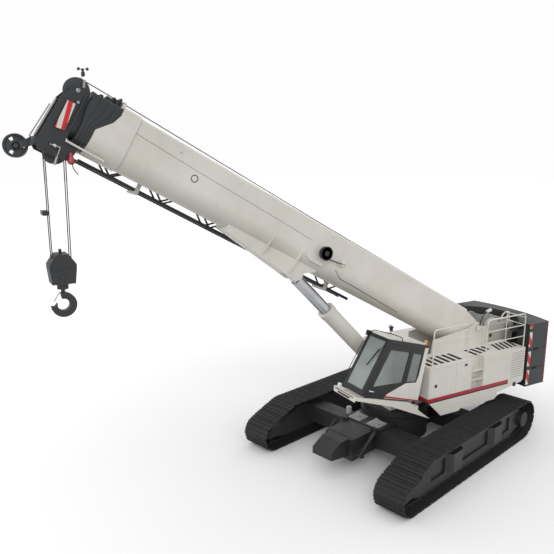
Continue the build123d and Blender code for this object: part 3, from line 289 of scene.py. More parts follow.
# tube through points, its corners rounded by short chords when it has a bend
def addTube(form, points, radius, bend=0.0, sides=10):
    points = [Vector(p) for p in points]
    path = [points[0]]
    for a, b, c in zip(points, points[1:], points[2:]):
        if not bend:
            path.append(b)
            continue
        before, after = b - (b - a).normalized() * bend, b + (c - b).normalized() * bend
        for k in range(5):
            t = k / 4
            path.append(before * (1 - t) ** 2 + b * (2 * t * (1 - t)) + after * t * t)
    path.append(points[-1])
    rings = []
    for i, point in enumerate(path):
        along = (path[min(i + 1, len(path) - 1)] - path[max(i - 1, 0)]).normalized()
        turn = along.to_track_quat("Z", "Y")
        rings.append([form.verts.new(point + turn @ Vector((a, b, 0))) for a, b in circle(radius, sides)])
    addSkin(form, rings)
    addCaps(form, rings)


# turned form from radius and height pairs; a profile that closes on itself is a ring, without caps
def addTurned(form, profile, centre, axis="y", sides=32):
    rings = []
    for radius, height in profile:
        offsets = [(a, b, height) if axis == "z" else (a, height, b) for a, b in circle(radius, sides)]
        rings.append([form.verts.new(Vector(centre) + Vector(offset)) for offset in offsets])
    addSkin(form, rings)
    if profile[0] != profile[-1]:
        addCaps(form, rings)


# tracks: shoes with three bars on two link chains
trackSizes = {"gauge": 4.754, "width": 0.914, "shoes": 50, "rearX": -2.948, "rearR": 0.609,
              "frontX": 3.170, "frontR": 0.440, "crest": 2.35}
shoeSizes = {"corner": 0.03, "thin": 0.0187, "long": 0.49, "waist": 0.3,
             "bar": 0.026, "bars": (-0.405, -0.03, 0.345), "barHalf": 0.014, "barLean": 0.007, "barEnd": 0.012,
             "links": (-0.13, 0.13), "linkHalf": 0.025, "linkLow": 0.04, "linkHigh": 0.1,
             "pin": 0.02, "pinReach": 0.17, "pinUp": 0.065,
             "bolt": 0.013, "boltX": (-0.189, 0.189), "boltY": (-0.2, 0.16), "boltDown": -0.012, "sink": 0.001}


# middle and heading of each shoe on its way round, and the length of the way
def trackPath(sizes, inset, count):
    rearR, frontR, top = sizes["rearR"] - inset, sizes["frontR"] - inset, 2 * sizes["rearR"] - inset
    dx, dz = sizes["crest"] - sizes["frontX"], top - sizes["frontR"]
    fall = math.atan2(dz, dx) - math.atan2(math.sqrt(dx * dx + dz * dz - frontR * frontR), frontR)
    touch = (sizes["frontX"] + frontR * math.cos(fall), sizes["frontR"] + frontR * math.sin(fall))
    runs = [("line", (sizes["rearX"], inset), (sizes["frontX"], inset)),
            ("arc", (sizes["frontX"], sizes["frontR"]), frontR, -math.pi / 2, fall),
            ("line", touch, (sizes["crest"], top)),
            ("line", (sizes["crest"], top), (sizes["rearX"], top)),
            ("arc", (sizes["rearX"], sizes["rearR"]), rearR, math.pi / 2, math.pi * 1.5)]
    lengths = [math.dist(r[1], r[2]) if r[0] == "line" else r[2] * (r[4] - r[3]) for r in runs]
    pins = []
    for i in range(count + 1):
        left = sum(lengths) * i / count
        for run, length in zip(runs, lengths):
            if left <= length + 1e-9:
                break
            left -= length
        if run[0] == "line":
            t = left / length
            pins.append(tuple(run[1][k] * (1 - t) + run[2][k] * t for k in (0, 1)))
        else:
            angle = run[3] + left / run[2]
            pins.append((run[1][0] + run[2] * math.cos(angle), run[1][1] + run[2] * math.sin(angle)))
    stations = [((a[0] + b[0]) / 2, (a[1] + b[1]) / 2, math.atan2(b[1] - a[1], b[0] - a[0]))
                for a, b in zip(pins, pins[1:])]
    return stations, sum(lengths)


# one shoe: plate, bars, links, pin and bolts, with its outer side down
def makeShoe(sizes, half, pitch):
    shoe = bmesh.new()
    inner, end, waist = half - sizes["corner"], pitch * sizes["long"], pitch * sizes["waist"]
    addPlate(shoe, [(-inner, -end), (inner, -end), (half, -waist), (half, waist),
                    (inner, end), (-inner, end), (-half, waist), (-half, -waist)], 0, sizes["thin"], "z")
    for share in sizes["bars"]:
        a, b = share * pitch - sizes["barHalf"], share * pitch + sizes["barHalf"]
        lean, reach = sizes["barLean"], half - sizes["barEnd"]
        addPlate(shoe, [(a, sizes["sink"]), (b, sizes["sink"]), (b - lean, -sizes["bar"]), (a + lean, -sizes["bar"])],
                 -reach, reach, "x")
    for x in sizes["links"]:
        low, high, thin = sizes["linkLow"], sizes["linkHigh"], sizes["thin"]
        addPlate(shoe, [(-pitch * 0.52, low), (-waist, thin), (waist, thin), (pitch * 0.52, low),
                        (pitch * 0.5, high), (-pitch * 0.5, high)], x - sizes["linkHalf"], x + sizes["linkHalf"], "x")
    addBar(shoe, (-sizes["pinReach"], pitch / 2, sizes["pinUp"]), (sizes["pinReach"], pitch / 2, sizes["pinUp"]),
           sizes["pin"], 10)
    for x in sizes["boltX"]:
        for share in sizes["boltY"]:
            addBar(shoe, (x, share * pitch, sizes["sink"]), (x, share * pitch, sizes["boltDown"]), sizes["bolt"], 6)
    mesh = bpy.data.meshes.new("shoe")
    shoe.to_mesh(mesh)
    shoe.free()
    return mesh


stations, total = trackPath(trackSizes, shoeSizes["bar"], trackSizes["shoes"])
shoeMesh = makeShoe(shoeSizes, trackSizes["width"] / 2, total / trackSizes["shoes"])
for side, middle in (("left", trackSizes["gauge"] / 2), ("right", -trackSizes["gauge"] / 2)):
    chain = bmesh.new()
    for x, z, heading in stations:
        along = Vector((math.cos(heading), 0, math.sin(heading)))
        inward = Vector((-math.sin(heading), 0, math.cos(heading)))
        across = Vector((0, 1, 0))
        matrix = Matrix((across, along, inward)).transposed().to_4x4()
        matrix.translation = (x, middle, z)
        start = len(chain.verts)
        chain.from_mesh(shoeMesh)
        chain.verts.ensure_lookup_table()
        bmesh.ops.transform(chain, matrix=matrix, verts=chain.verts[start:])
    makePiece(f"track_shoes_{side}", chain, "undercarriage", trackSteel, trackFrame,
              (f"track_{side}",))
print("tracks done")


# film with two colours in slanting bands, for warning boards
def warningBoard(name, axis, pitch, offset, light="#D6D3CD", red="#B4131A"):
    material = surface(name, light, dict(paintLook, dirt=0.1))
    tree = material.node_tree
    shader = tree.nodes["Principled BSDF"]
    place = addNode(tree, "ShaderNodeTexCoord").outputs["Object"]
    along = addNode(tree, "ShaderNodeVectorMath", {0: place, 1: axis}, operation="DOT_PRODUCT")
    shifted = addNode(tree, "ShaderNodeMath", {0: along.outputs["Value"], 1: offset}, operation="ADD").outputs[0]
    turns = addNode(tree, "ShaderNodeMath", {0: shifted, 1: pitch}, operation="DIVIDE").outputs[0]
    part = addNode(tree, "ShaderNodeMath", {0: turns}, operation="FRACT").outputs[0]
    band = addNode(tree, "ShaderNodeMath", {0: part, 1: 0.5}, operation="GREATER_THAN").outputs[0]
    old = shader.inputs["Base Color"].links[0].from_socket
    tree.links.new(mixColour(tree, band, old, toLinear(red)), shader.inputs["Base Color"])
    return material


# thin deep red bands along the sides
stripeRed = surface("red stripe film", "#A31A26", dict(paintLook, second="#971722", dirt=0.08))
# black without a shine
blackGrip = surface("black anti-slip grit", "#151516",
                    dict(darkLook, second="#1B1B1C", rough=0.85, grain=0.004, bump=0.6))
# mid-grey winding, lighter than the drum's flanges
drumRope = surface("greased rope on the drum", "#85857F", dict(steelLook, second="#6E6E69", metal=0.3))
# small bright spots on the cab
lampGlass = surface("clear lamp lens", "#DDE1E2", dict(paintLook, second="#C9CFD2", dirt=0.05, rough=0.2))
# one warm spot on the roof
amberLens = surface("amber beacon lens", "#C98A1E", dict(paintLook, second="#B87A14", dirt=0.05, rough=0.25))
# faded red pear under the head
redPaint = surface("red weight enamel", "#9E2F36", dict(paintLook, second="#8C2930", dirt=0.1))

# boom side: thin seam, the reel's cable line, bores in black as painted shade, and small pads under the rope
boomSizes = {"side": 0.450, "belly": -0.40, "thin": 0.004, "cableR": 0.008,
             "seam": ((12.40, 0.05), (10.54, -0.02), (7.87, -0.08), (6.78, -0.12)),
             "cable": ((5.83, -0.51), (5.53, -0.65), (4.85, -0.66), (3.12, -0.72)),
             "boreShades": ((10.46, -0.20, 0.088), (10.99, 0.16, 0.022)),
             "pads": (9.38, 6.34, 3.36, 1.92), "padT": 0.25, "padHalf": 0.035, "padFace": 0.455, "padDeep": 0.008}


# half width of the boom at a height, narrower below its straight side
def bellyWidth(t):
    under = max(0.0, boomSizes["belly"] - t)
    return math.sqrt(max(0.0, boomSizes["side"] ** 2 - under ** 2))


form = bmesh.new()
addChain(form, [(s, boomSizes["side"], t) for s, t in boomSizes["seam"]], boomSizes["thin"], 6)
addChain(form, [(s, bellyWidth(t) + boomSizes["thin"], t) for s, t in boomSizes["cable"]], boomSizes["cableR"], 6)
makePiece("boom_seams", form, "boom_base", trimPlastic, boomFrame)
form = bmesh.new()
# painted shade: a black ring and shallow black cup in each bore stand for the dark inside of the hole
for s, t, radius in boomSizes["boreShades"]:
    rim = [(radius, -0.004), (radius, 0.003), (radius * 0.8, 0.003), (radius * 0.75, -0.002), (0.0, -0.002)]
    addTurned(form, rim, (s, boomSizes["side"], t))
makePiece("boom_port_shades", form, "boom_base", blackGrip, boomFrame)
form = bmesh.new()
half, deep = boomSizes["padHalf"], boomSizes["padDeep"]
for s in boomSizes["pads"]:
    for y in (-boomSizes["padFace"], boomSizes["padFace"]):
        addBlock(form, (s - half, y - deep, boomSizes["padT"] - half), (s + half, y + deep, boomSizes["padT"] + half))
makePiece("boom_pads", form, "boom_base", whitePaint, boomFrame, bevel=0.006)

# raised rib round the belly behind the mouth, and two gussets each side of the cylinder's saddle
ribSizes = {"rib": 12.50, "half": 0.03, "thick": 0.012, "sink": 0.004,
            "levels": (-0.26, -0.40, -0.50, -0.60, -0.70, -0.80),
            "gussets": ((7.97, -1.00), (7.02, -1.13)), "gussetHalf": 0.022, "foot": (0.29, 0.325),
            "edge": ((0.445, -0.60), (0.462, -0.46), (0.440, -0.44), (0.29, -0.70))}
form = bmesh.new()
rib, half, deep = ribSizes["rib"], ribSizes["half"], ribSizes["gussetHalf"]
for side in (-1, 1):
    inside = [(side * (bellyWidth(t) - ribSizes["sink"]), t) for t in ribSizes["levels"]]
    outside = [(side * (bellyWidth(t) + ribSizes["thick"]), t) for t in ribSizes["levels"]]
    addPlate(form, inside + outside[::-1], rib - half, rib + half, "x")
    for s, bottom in ribSizes["gussets"]:
        outline = [(y, bottom) for y in ribSizes["foot"]] + list(ribSizes["edge"])
        addPlate(form, [(side * y, t) for y, t in outline], s - deep, s + deep, "x")
makePiece("boom_ribs", form, "boom_base", whitePaint, boomFrame, bevel=0.004)

# plate behind the cable reel, its face with a square hub, and the arm that leads the cable off
reelSizes = {"s": 6.44, "t": -0.26, "face": 0.640, "hub": 0.055, "hubOut": 0.016, "plate": (0.449, 0.456),
             "outline": ((6.88, -0.10), (6.88, -0.52), (6.70, -0.60), (6.30, -0.60), (6.22, -0.40), (6.30, -0.08)),
             "profile": ((0.185, 0.0), (0.185, 0.006), (0.165, 0.006), (0.160, -0.006), (0.07, -0.006),
                         (0.065, 0.010), (0.0, 0.010)),
             "guide": ((5.66, 0.452, -0.36), (5.84, 0.50, -0.20)),
             "roller": ((5.78, 0.50, -0.26), (5.70, 0.56, -0.24), 0.035),
             "arm": ((6.33, 0.56, -0.36), (5.80, 0.53, -0.30), 0.016)}
form = bmesh.new()
addPlate(form, reelSizes["outline"], *reelSizes["plate"])
addBlock(form, *reelSizes["guide"])
addBar(form, *reelSizes["roller"], 12)
makePiece("reel_bracket", form, "boom_base", whitePaint, boomFrame, bevel=0.006)
form = bmesh.new()
s, t, face, hub = (reelSizes[key] for key in ("s", "t", "face", "hub"))
addTurned(form, reelSizes["profile"], (s, face, t), sides=40)
addBlock(form, (s - hub, face, t - hub), (s + hub, face + reelSizes["hubOut"], t + hub))
addBar(form, *reelSizes["arm"], 10)
makePiece("reel_face", form, "boom_base", trimPlastic, boomFrame, bevel=0.003)

# warning board on the head: leaning red and pale bands, and two bolts
boardSizes = {"corners": ((13.555, -0.04), (13.385, -0.03), (13.355, -0.61), (13.555, -0.64)),
              "face": 0.341, "thick": 0.004, "boltS": 13.385, "boltT": (-0.50, -0.56)}
headBoard = warningBoard("head warning film", (1.0, 0, 0.33), 0.20, 0.035, red="#C40A10")
form = bmesh.new()
addPlate(form, boardSizes["corners"], boardSizes["face"], boardSizes["face"] + boardSizes["thick"])
makePiece("head_board", form, "boom_tip", headBoard, boomFrame)
form = bmesh.new()
for t in boardSizes["boltT"]:
    addTurned(form, [(0.014, 0.0), (0.014, 0.006), (0.0, 0.006)],
              (boardSizes["boltS"], boardSizes["face"] + boardSizes["thick"], t), sides=12)
makePiece("board_bolts", form, "boom_tip", trimPlastic, boomFrame)

# silver strut frame up the front of the head
strutSizes = {"bars": (((13.74, 0.22, -0.10), (13.80, 0.22, -0.95)), ((13.74, 0.10, -0.10), (13.80, 0.10, -0.95)),
                       ((13.80, 0.16, -0.25), (13.88, 0.16, -1.02))), "radius": 0.014,
              "rungs": 5, "rungT": -0.30, "step": 0.16, "rungS": 13.755, "lean": 0.07, "rungY": (0.10, 0.22)}
form = bmesh.new()
for start, end in strutSizes["bars"]:
    addBar(form, start, end, strutSizes["radius"], 10)
for k in range(strutSizes["rungs"]):
    t = strutSizes["rungT"] - strutSizes["step"] * k
    s = strutSizes["rungS"] - (t + 0.1) * strutSizes["lean"]
    addChain(form, [(s, y, t) for y in strutSizes["rungY"]], 0.010, 8)
makePiece("head_struts", form, "boom_tip", bareSteel, boomFrame, smooth=True)

# silver lever of the hoist limit switch with caps on the sheave pins, and the foot rail at the mouth
fittingSizes = {"bars": (((13.50, 0.36, -0.99), (13.29, 0.36, -0.96), 0.018),
                         ((13.29, 0.36, -0.96), (13.25, 0.36, -1.30), 0.012),
                         ((13.42, 0.345, -0.97), (13.36, 0.375, -0.98), 0.040),
                         ((13.27, 0.36, -1.16), (13.25, 0.36, -1.33), 0.026),
                         ((13.41, 0.20, 0.50), (13.37, 0.30, 0.33), 0.030)),
                "upperPin": (13.45, 0.30, 0.24), "lowerPin": (13.36, 0.34, 0.02)}
form = bmesh.new()
for start, end, radius in fittingSizes["bars"]:
    addBar(form, start, end, radius, 12)
addTurned(form, [(0.045, 0.0), (0.045, 0.02), (0.025, 0.03), (0.0, 0.03)], fittingSizes["upperPin"], sides=20)
addTurned(form, [(0.030, 0.0), (0.030, 0.03), (0.0, 0.03)], fittingSizes["lowerPin"], sides=16)
makePiece("head_fittings", form, "boom_tip", bareSteel, boomFrame, smooth=True)
railSizes = {"inner": ((12.44, 0.10, -0.865), (12.93, 0.10, -0.865), 0.022),
             "outer": ((13.26, 0.365, -0.785), (12.40, 0.365, -0.80), 0.024),
             "posts": (12.46, 12.72), "postY": (0.22, 0.365), "postT": -0.79}
form = bmesh.new()
addBar(form, *railSizes["inner"], 12)
addBar(form, *railSizes["outer"], 12)
for s in railSizes["posts"]:
    addChain(form, [(s, y, railSizes["postT"]) for y in railSizes["postY"]], 0.016, 8)
makePiece("mouth_rail", form, "boom_base", whitePaint, boomFrame, smooth=True)

# wind gauge on the head: mast, body and three cups
gaugeSizes = {"foot": (13.45, 0.10, 0.25), "top": (13.47, 0.10, 0.62), "mast": 0.010,
              "box": ((13.42, 0.07, 0.30), (13.50, 0.13, 0.36)),
              "body": ((0.02, -0.05), (0.040, -0.03), (0.040, 0.03), (0.02, 0.06), (0.010, 0.10)),
              "arm": 0.10, "armUp": 0.095, "first": 20, "cup": 0.032}
form = bmesh.new()
addBar(form, gaugeSizes["foot"], gaugeSizes["top"], gaugeSizes["mast"], 8)
addBlock(form, *gaugeSizes["box"])
makePiece("wind_mast", form, "boom_tip", bareSteel, boomFrame, smooth=True)
form = bmesh.new()
base = Vector(boomFrame @ Vector(gaugeSizes["top"]))
addTurned(form, gaugeSizes["body"], base, "z", 16)
for k in range(3):
    angle, reach, up = math.radians(120 * k + gaugeSizes["first"]), gaugeSizes["arm"], gaugeSizes["armUp"]
    cup = base + Vector((reach * math.cos(angle), reach * math.sin(angle), up))
    addBar(form, base + Vector((0, 0, up)), cup, 0.006, 6)
    bmesh.ops.create_uvsphere(form, u_segments=12, v_segments=8, radius=gaugeSizes["cup"],
                              matrix=Matrix.Translation(cup))
makePiece("wind_gauge", form, "boom_tip", trimPlastic, upperFrame, smooth=True)

# wire rope from the drum over the boom's top to the head sheave, of one length: it doesn't run out
ropeSizes = {"points": ((-0.74, -0.02, 0.02), (2.0, 0.05, 0.43), (6.5, 0.10, 0.44), (12.4, 0.145, 0.50),
                        (13.40, 0.15, 0.50)), "radius": 0.011}
form = bmesh.new()
addTube(form, ropeSizes["points"], ropeSizes["radius"], 0.0, 8)
makePiece("boom_rope", form, "boom_base", wireRope, boomFrame, smooth=True)

# hanging weight of the hoist limit switch with its tail, and the clamp ring on the falls
limitSizes = {"top": (13.07, 0.36, -0.95), "tailR": 0.010,
              "weight": ((0.0, 0.0), (0.030, -0.01), (0.045, -0.08), (0.080, -0.19), (0.070, -0.22),
                         (0.030, -0.25), (0.0, -0.25)),
              "tail": ((-0.02, 0, -0.24), (-0.03, 0, -0.32), (-0.08, 0, -0.40), (-0.13, 0, -0.45)),
              "clamp": ((9.665, -0.14, 7.37), (9.79, 0.14, 7.47))}
form = bmesh.new()
top = boomFrame @ Vector(limitSizes["top"])
addTurned(form, limitSizes["weight"], top, "z", 20)
makePiece("limit_weight", form, "boom_tip", redPaint, upperFrame, smooth=True)
form = bmesh.new()
addTube(form, [top + Vector(v) for v in limitSizes["tail"]], limitSizes["tailR"], 0.02, 8)
makePiece("weight_tail", form, "boom_tip", trimPlastic, upperFrame, smooth=True)
form = bmesh.new()
addBlock(form, *limitSizes["clamp"])
makePiece("falls_clamp", form, "hook_block", trimPlastic, upperFrame, bevel=0.015)
print("boom details done")

# nose sheave with a rope groove and three openings in its web
noseSizes = {"s": 14.010, "t": -1.310, "open": (0.115, 0.182), "first": 34, "wide": 13, "half": 0.012,
             "rim": ((0.182, -0.012), (0.205, -0.040), (0.240, -0.050), (0.216, -0.010), (0.216, 0.010),
                     (0.240, 0.050), (0.205, 0.040), (0.182, 0.012), (0.182, -0.012)),
             "hub": ((0.05, -0.085), (0.075, -0.085), (0.085, -0.03), (0.115, -0.012), (0.115, 0.012),
                     (0.085, 0.03), (0.075, 0.085), (0.05, 0.085))}
form = bmesh.new()
s, t, half = noseSizes["s"], noseSizes["t"], noseSizes["half"]
inner, outer = noseSizes["open"]
addTurned(form, noseSizes["rim"], (s, 0.0, t), sides=60)
addTurned(form, noseSizes["hub"], (s, 0.0, t), sides=60)
for k in range(3):
    start = math.radians(noseSizes["first"] + 120 * k + noseSizes["wide"])
    step = math.radians(120 - 2 * noseSizes["wide"]) / 16
    spoke = [(outer, start + step * i) for i in range(17)] + [(inner, start + step * i) for i in range(16, -1, -1)]
    addPlate(form, [(s + r * math.cos(a), t + r * math.sin(a)) for r, a in spoke], -half, half)
makePiece("nose_sheave_open", form, "nose_sheave", castGrey, boomFrame, ("nose_sheave",))

# guide lugs standing on the collars of the boom sections
lugSizes = {"at": ((12.58, 0.595), (12.715, 0.547), (12.85, 0.50), (13.0, 0.444), (13.12, 0.345)),
            "y": (-0.10, 0.02), "wide": 0.08, "foot": 0.20, "thick": 0.05}
for k, (s, top) in enumerate(lugSizes["at"], 1):
    form = bmesh.new()
    thick, foot = lugSizes["thick"], lugSizes["foot"]
    outline = [(s - thick * 1.6, foot), (s + 0.01, foot), (s + 0.01, top - 0.04),
               (s - 0.01, top), (s - thick, top - 0.02)]
    for y in lugSizes["y"]:
        addPlate(form, outline, y, y + lugSizes["wide"])
    body = f"boom_section_{k}" if k < 5 else "boom_tip"
    makePiece(f"collar_lug_{k}", form, body, headPaint, boomFrame, bevel=0.004)

# hook block: side cheeks with a seam bar, pin bosses and top lug; latch across the hook's throat
blockSizes = {"face": 0.212, "thick": 0.006, "barOut": 0.012, "bar": ((9.20, 6.205), (9.72, 6.245)),
              "cheek": ((9.34, 6.50), (9.58, 6.50), (9.70, 6.36), (9.70, 6.05), (9.60, 5.90), (9.32, 5.90),
                        (9.22, 6.05), (9.22, 6.36)),
              "pin": (9.458, 6.04), "boss": ((0.075, 0.0), (0.075, 0.02), (0.045, 0.03), (0.0, 0.03)),
              "lug": ((9.44, -0.02, 6.54), (9.50, 0.02, 6.64)),
              "latch": ((9.53, 0.0, 5.70), (9.66, 0.0, 5.50), 0.012)}
form = bmesh.new()
(barX, barZ), (barEndX, barEndZ) = blockSizes["bar"]
pinX, pinZ = blockSizes["pin"]
for side in (-1, 1):
    y = side * blockSizes["face"]
    addPlate(form, blockSizes["cheek"], y, y - side * blockSizes["thick"])
    addBlock(form, (barX, y, barZ), (barEndX, y + side * blockSizes["barOut"], barEndZ))
    addTurned(form, [(radius, side * out) for radius, out in blockSizes["boss"]], (pinX, y, pinZ), sides=24)
addBlock(form, *blockSizes["lug"])
makePiece("block_cheeks", form, "hook_block", headPaint, upperFrame, bevel=0.005)
form = bmesh.new()
addBar(form, *blockSizes["latch"], 8)
makePiece("hook_latch", form, "hook", bareSteel, upperFrame, smooth=True)
print("hook details done")

# anti-slip bars on the left deck, in three groups: the bars of the last one slant
deckSizes = {"z": 2.772, "inner": 0.81, "sink": 0.001, "high": 0.003,
             "groups": ((-0.03, 6, 0.235, 0.118, 0.02, (1.36,)),
                        (-1.92, 4, 0.235, 0.118, 0.01, (1.29, 1.26, 1.20, 1.12)),
                        (-2.91, 5, 0.18, 0.09, 0.19, (1.31,)))}
form = bmesh.new()
for start, count, pitch, wide, lean, outers in deckSizes["groups"]:
    for k in range(count):
        x, outer, inner = start - pitch * k, outers[min(k, len(outers) - 1)], deckSizes["inner"]
        addPlate(form, [(x, outer), (x - wide, outer), (x - wide - lean, inner), (x - lean, inner)],
                 deckSizes["z"] - deckSizes["sink"], deckSizes["z"] + deckSizes["high"], "z")
makePiece("deck_grip", form, "superstructure", blackGrip, upperFrame)

# stripe along the left side and round the front corner: red band over a thin dark line
stripeSizes = {"front": 0.073, "rear": -3.2, "face": 1.4955, "thick": 0.002, "inner": 0.60, "low": 1.712,
               "red": (1.738, 1.838), "dark": (1.698, 1.738)}
outside = stripeSizes["face"] + stripeSizes["thick"]
for name, band, stuff in (("side_stripe_red", "red", stripeRed), ("side_stripe_dark", "dark", trimPlastic)):
    form = bmesh.new()
    (low, high), front = stripeSizes[band], stripeSizes["front"]
    addBlock(form, (stripeSizes["rear"], stripeSizes["face"], low), (front, outside, high))
    addBlock(form, (front - stripeSizes["thick"], stripeSizes["inner"], max(low, stripeSizes["low"])),
             (front, outside, high))
    makePiece(name, form, "superstructure", stuff, upperFrame)

# grey sheets behind the louvre slots, a painted shade for their insides, panel seams, latches and the filler cap
louvreShadeSizes = {"count": 11, "x": (-3.85, -3.29), "y": (1.478, 1.480), "z": 1.860, "step": 0.078, "high": 0.026}
seamSizes = {"x": (-0.97, 0.045), "half": 0.005, "y": (1.4945, 1.4958), "z": (1.84, 2.755)}
latchSizes = {"panel": ((-1.40, 1.49, 2.60), (-1.29, 1.508, 2.655)), "cap": (-3.49, 1.495, 1.63),
              "locker": ((-0.245, 1.480, 2.140), (-0.155, 1.500, 2.235))}
form = bmesh.new()
# painted shade: a grey strip behind each louvre slot
for k in range(louvreShadeSizes["count"]):
    z = louvreShadeSizes["z"] + louvreShadeSizes["step"] * k
    addBlock(form, (louvreShadeSizes["x"][0], louvreShadeSizes["y"][0], z),
             (louvreShadeSizes["x"][1], louvreShadeSizes["y"][1], z + louvreShadeSizes["high"]))
for x in seamSizes["x"]:
    addBlock(form, (x - seamSizes["half"], seamSizes["y"][0], seamSizes["z"][0]),
             (x + seamSizes["half"], seamSizes["y"][1], seamSizes["z"][1]))
makePiece("side_seams_and_louvre_shade", form, "superstructure", winchPaint, upperFrame)
form = bmesh.new()
addBlock(form, *latchSizes["panel"])
addTurned(form, [(0.075, 0.0), (0.075, 0.015), (0.05, 0.02), (0.0, 0.02)], latchSizes["cap"])
makePiece("side_latches", form, "superstructure", trimPlastic, upperFrame, bevel=0.004)
form = bmesh.new()
addBlock(form, *latchSizes["locker"])
makePiece("locker_latch", form, "house_door", trimPlastic, upperFrame, bevel=0.002)

# stiffening ribs on the frame's side plates and keepers over the boom foot pin
plateSizes = {"ribs": ((-2.98, 3.30), (-3.12, 3.28), (-2.30, 3.30)), "half": 0.02, "y": (0.559, 0.585),
              "bottom": 2.79, "short": 0.03, "pin": (-2.76, 0.588, 3.29),
              "keeper": ((0.095, 0.0), (0.095, 0.02), (0.06, 0.03), (0.0, 0.03))}
form = bmesh.new()
pinX, pinY, pinZ = plateSizes["pin"]
for side in (-1, 1):
    near, far = (side * y for y in plateSizes["y"])
    for x, top in plateSizes["ribs"]:
        addBlock(form, (x - plateSizes["half"], near, plateSizes["bottom"]),
                 (x + plateSizes["half"], far, top - plateSizes["short"]))
    keeper = [(radius, side * out) for radius, out in plateSizes["keeper"]]
    addTurned(form, keeper, (pinX, side * pinY, pinZ), sides=28)
makePiece("plate_ribs", form, "superstructure", whitePaint, upperFrame, bevel=0.004)

# winch: rope wound on the drum, black discs over the box's openings as painted shade, a bent rail, a lamp head on a
# black arm
drumSizes = {"centre": (-3.48, 0.0, 3.18), "turns": 34, "start": -0.43, "pitch": 0.0255, "low": 0.296, "high": 0.306,
             "ends": ((0.20, -0.435), (0.20, 0.437))}
winchSizes = {"openings": ((-3.40, 2.95, 0.062), (-4.13, 3.13, 0.085)), "face": 0.5197, "thick": 0.002,
              "arm": ((-2.84, 0.575, 3.34), (-2.82, 0.60, 3.52), (-2.92, 0.60, 3.70), (-3.10, 0.60, 3.80)),
              "lamp": ((-3.06, 0.60, 3.79), (-3.24, 0.60, 3.83), 0.052),
              "rail": ((-3.97, 0.43, 3.32), (-3.97, 0.43, 3.50), (-4.12, 0.43, 3.61), (-4.30, 0.43, 3.60),
                       (-4.34, 0.43, 3.32))}
form = bmesh.new()
third, low, high = drumSizes["pitch"] / 3, drumSizes["low"], drumSizes["high"]
profile = [drumSizes["ends"][0]]
for k in range(drumSizes["turns"]):
    y = drumSizes["start"] + drumSizes["pitch"] * k
    profile += [(low, y), (high, y + third), (high, y + 2 * third), (low, y + drumSizes["pitch"])]
profile += [drumSizes["ends"][1]]
addTurned(form, profile, drumSizes["centre"], sides=40)
makePiece("drum_rope", form, "hoist_drum", drumRope, upperFrame, smooth=True)
form = bmesh.new()
# painted shade: flat black discs stand for the dark insides of the openings
for side in (-1, 1):
    out = side * winchSizes["thick"]
    for x, z, radius in winchSizes["openings"]:
        addTurned(form, [(radius, 0.0), (radius, out), (0.0, out)], (x, side * winchSizes["face"], z), sides=24)
addTube(form, winchSizes["arm"], 0.017, 0.05, 10)
makePiece("winch_openings", form, "superstructure", trimPlastic, upperFrame)
form = bmesh.new()
addBar(form, *winchSizes["lamp"], 16)
addTube(form, winchSizes["rail"], 0.020, 0.05, 10)
makePiece("winch_fittings", form, "superstructure", whitePaint, upperFrame, smooth=True)

# counterweight: boards on both front edges, tape on the rear edges, dark joint lines, and black patches at the
# notches as painted shade
slabSizes = {"face": 1.530, "thick": 0.003, "boardX": (-4.105, -3.975),
             "boards": ((1.52, 1.99), (2.13, 2.60), (2.76, 3.23), (3.345, 3.465)),
             "tapes": 14, "tapeX": (-4.825, -4.775), "tapeZ": 1.50, "tapeStep": 0.142, "tapeHigh": 0.085,
             "jointFace": (1.529, 1.532), "joints": (2.04, 2.66), "jointX": (-4.825, -3.965), "jointHalf": 0.008,
             "notchShadeX": (-4.42, -4.20), "notchShade": (-0.05, 0.03)}
slabBoard = warningBoard("slab warning film", (0.85, 0, -0.53), 0.30, 0.10)


# the same block on both sides of the machine
def addPair(form, xs, ys, zs):
    for side in (-1, 1):
        addBlock(form, (xs[0], side * ys[0], zs[0]), (xs[1], side * ys[1], zs[1]))


slabFace = (slabSizes["face"], slabSizes["face"] + slabSizes["thick"])
form = bmesh.new()
for zs in slabSizes["boards"]:
    addPair(form, slabSizes["boardX"], slabFace, zs)
makePiece("slab_boards", form, "superstructure", slabBoard, upperFrame)
form = bmesh.new()
for k in range(slabSizes["tapes"]):
    z = slabSizes["tapeZ"] + slabSizes["tapeStep"] * k
    addPair(form, slabSizes["tapeX"], slabFace, (z, z + slabSizes["tapeHigh"]))
makePiece("slab_tape", form, "superstructure", stripeRed, upperFrame)
form = bmesh.new()
for z in slabSizes["joints"]:
    half = slabSizes["jointHalf"]
    addPair(form, slabSizes["jointX"], slabSizes["jointFace"], (z - half, z + half))
    # painted shade: a black patch where each joint opens into a notch
    addPair(form, slabSizes["notchShadeX"], slabSizes["jointFace"], [z + step for step in slabSizes["notchShade"]])
makePiece("slab_joints_and_notch_shade", form, "superstructure", blackGrip, upperFrame)
print("house details done")

# cab: white lower panel and rear pillar, roof plate and the walk's front edge, then the stripe
cabSizes = {"side": 1.450, "thick": 0.003, "stripeOut": 0.005,
            "panel": ((0.002, 0.072), (1.275, 0.072), (1.19, 0.192), (0.95, 0.341), (0.62, 0.545), (0.25, 0.600),
                      (0.212, 0.82), (0.236, 1.60), (0.112, 1.60)),
            "stripe": ((0.004, 0.076), (1.272, 0.086), (1.243, 0.135), (0.006, 0.110)),
            "rear": ((0.001, 0.075), (-0.002, 0.075), (0.112, 1.62), (0.115, 1.62)), "rearY": (0.605, 1.452),
            "roof": ((0.16, 1.669), (1.55, 1.669), (1.52, 1.712), (0.20, 1.712)), "roofY": (0.655, 1.395),
            "walk": ((2.190, -0.130), (2.210, -0.125), (2.212, -0.045), (2.190, -0.045)), "walkY": (0.48, 1.42)}
form = bmesh.new()
addPlate(form, cabSizes["panel"], cabSizes["side"], cabSizes["side"] + cabSizes["thick"])
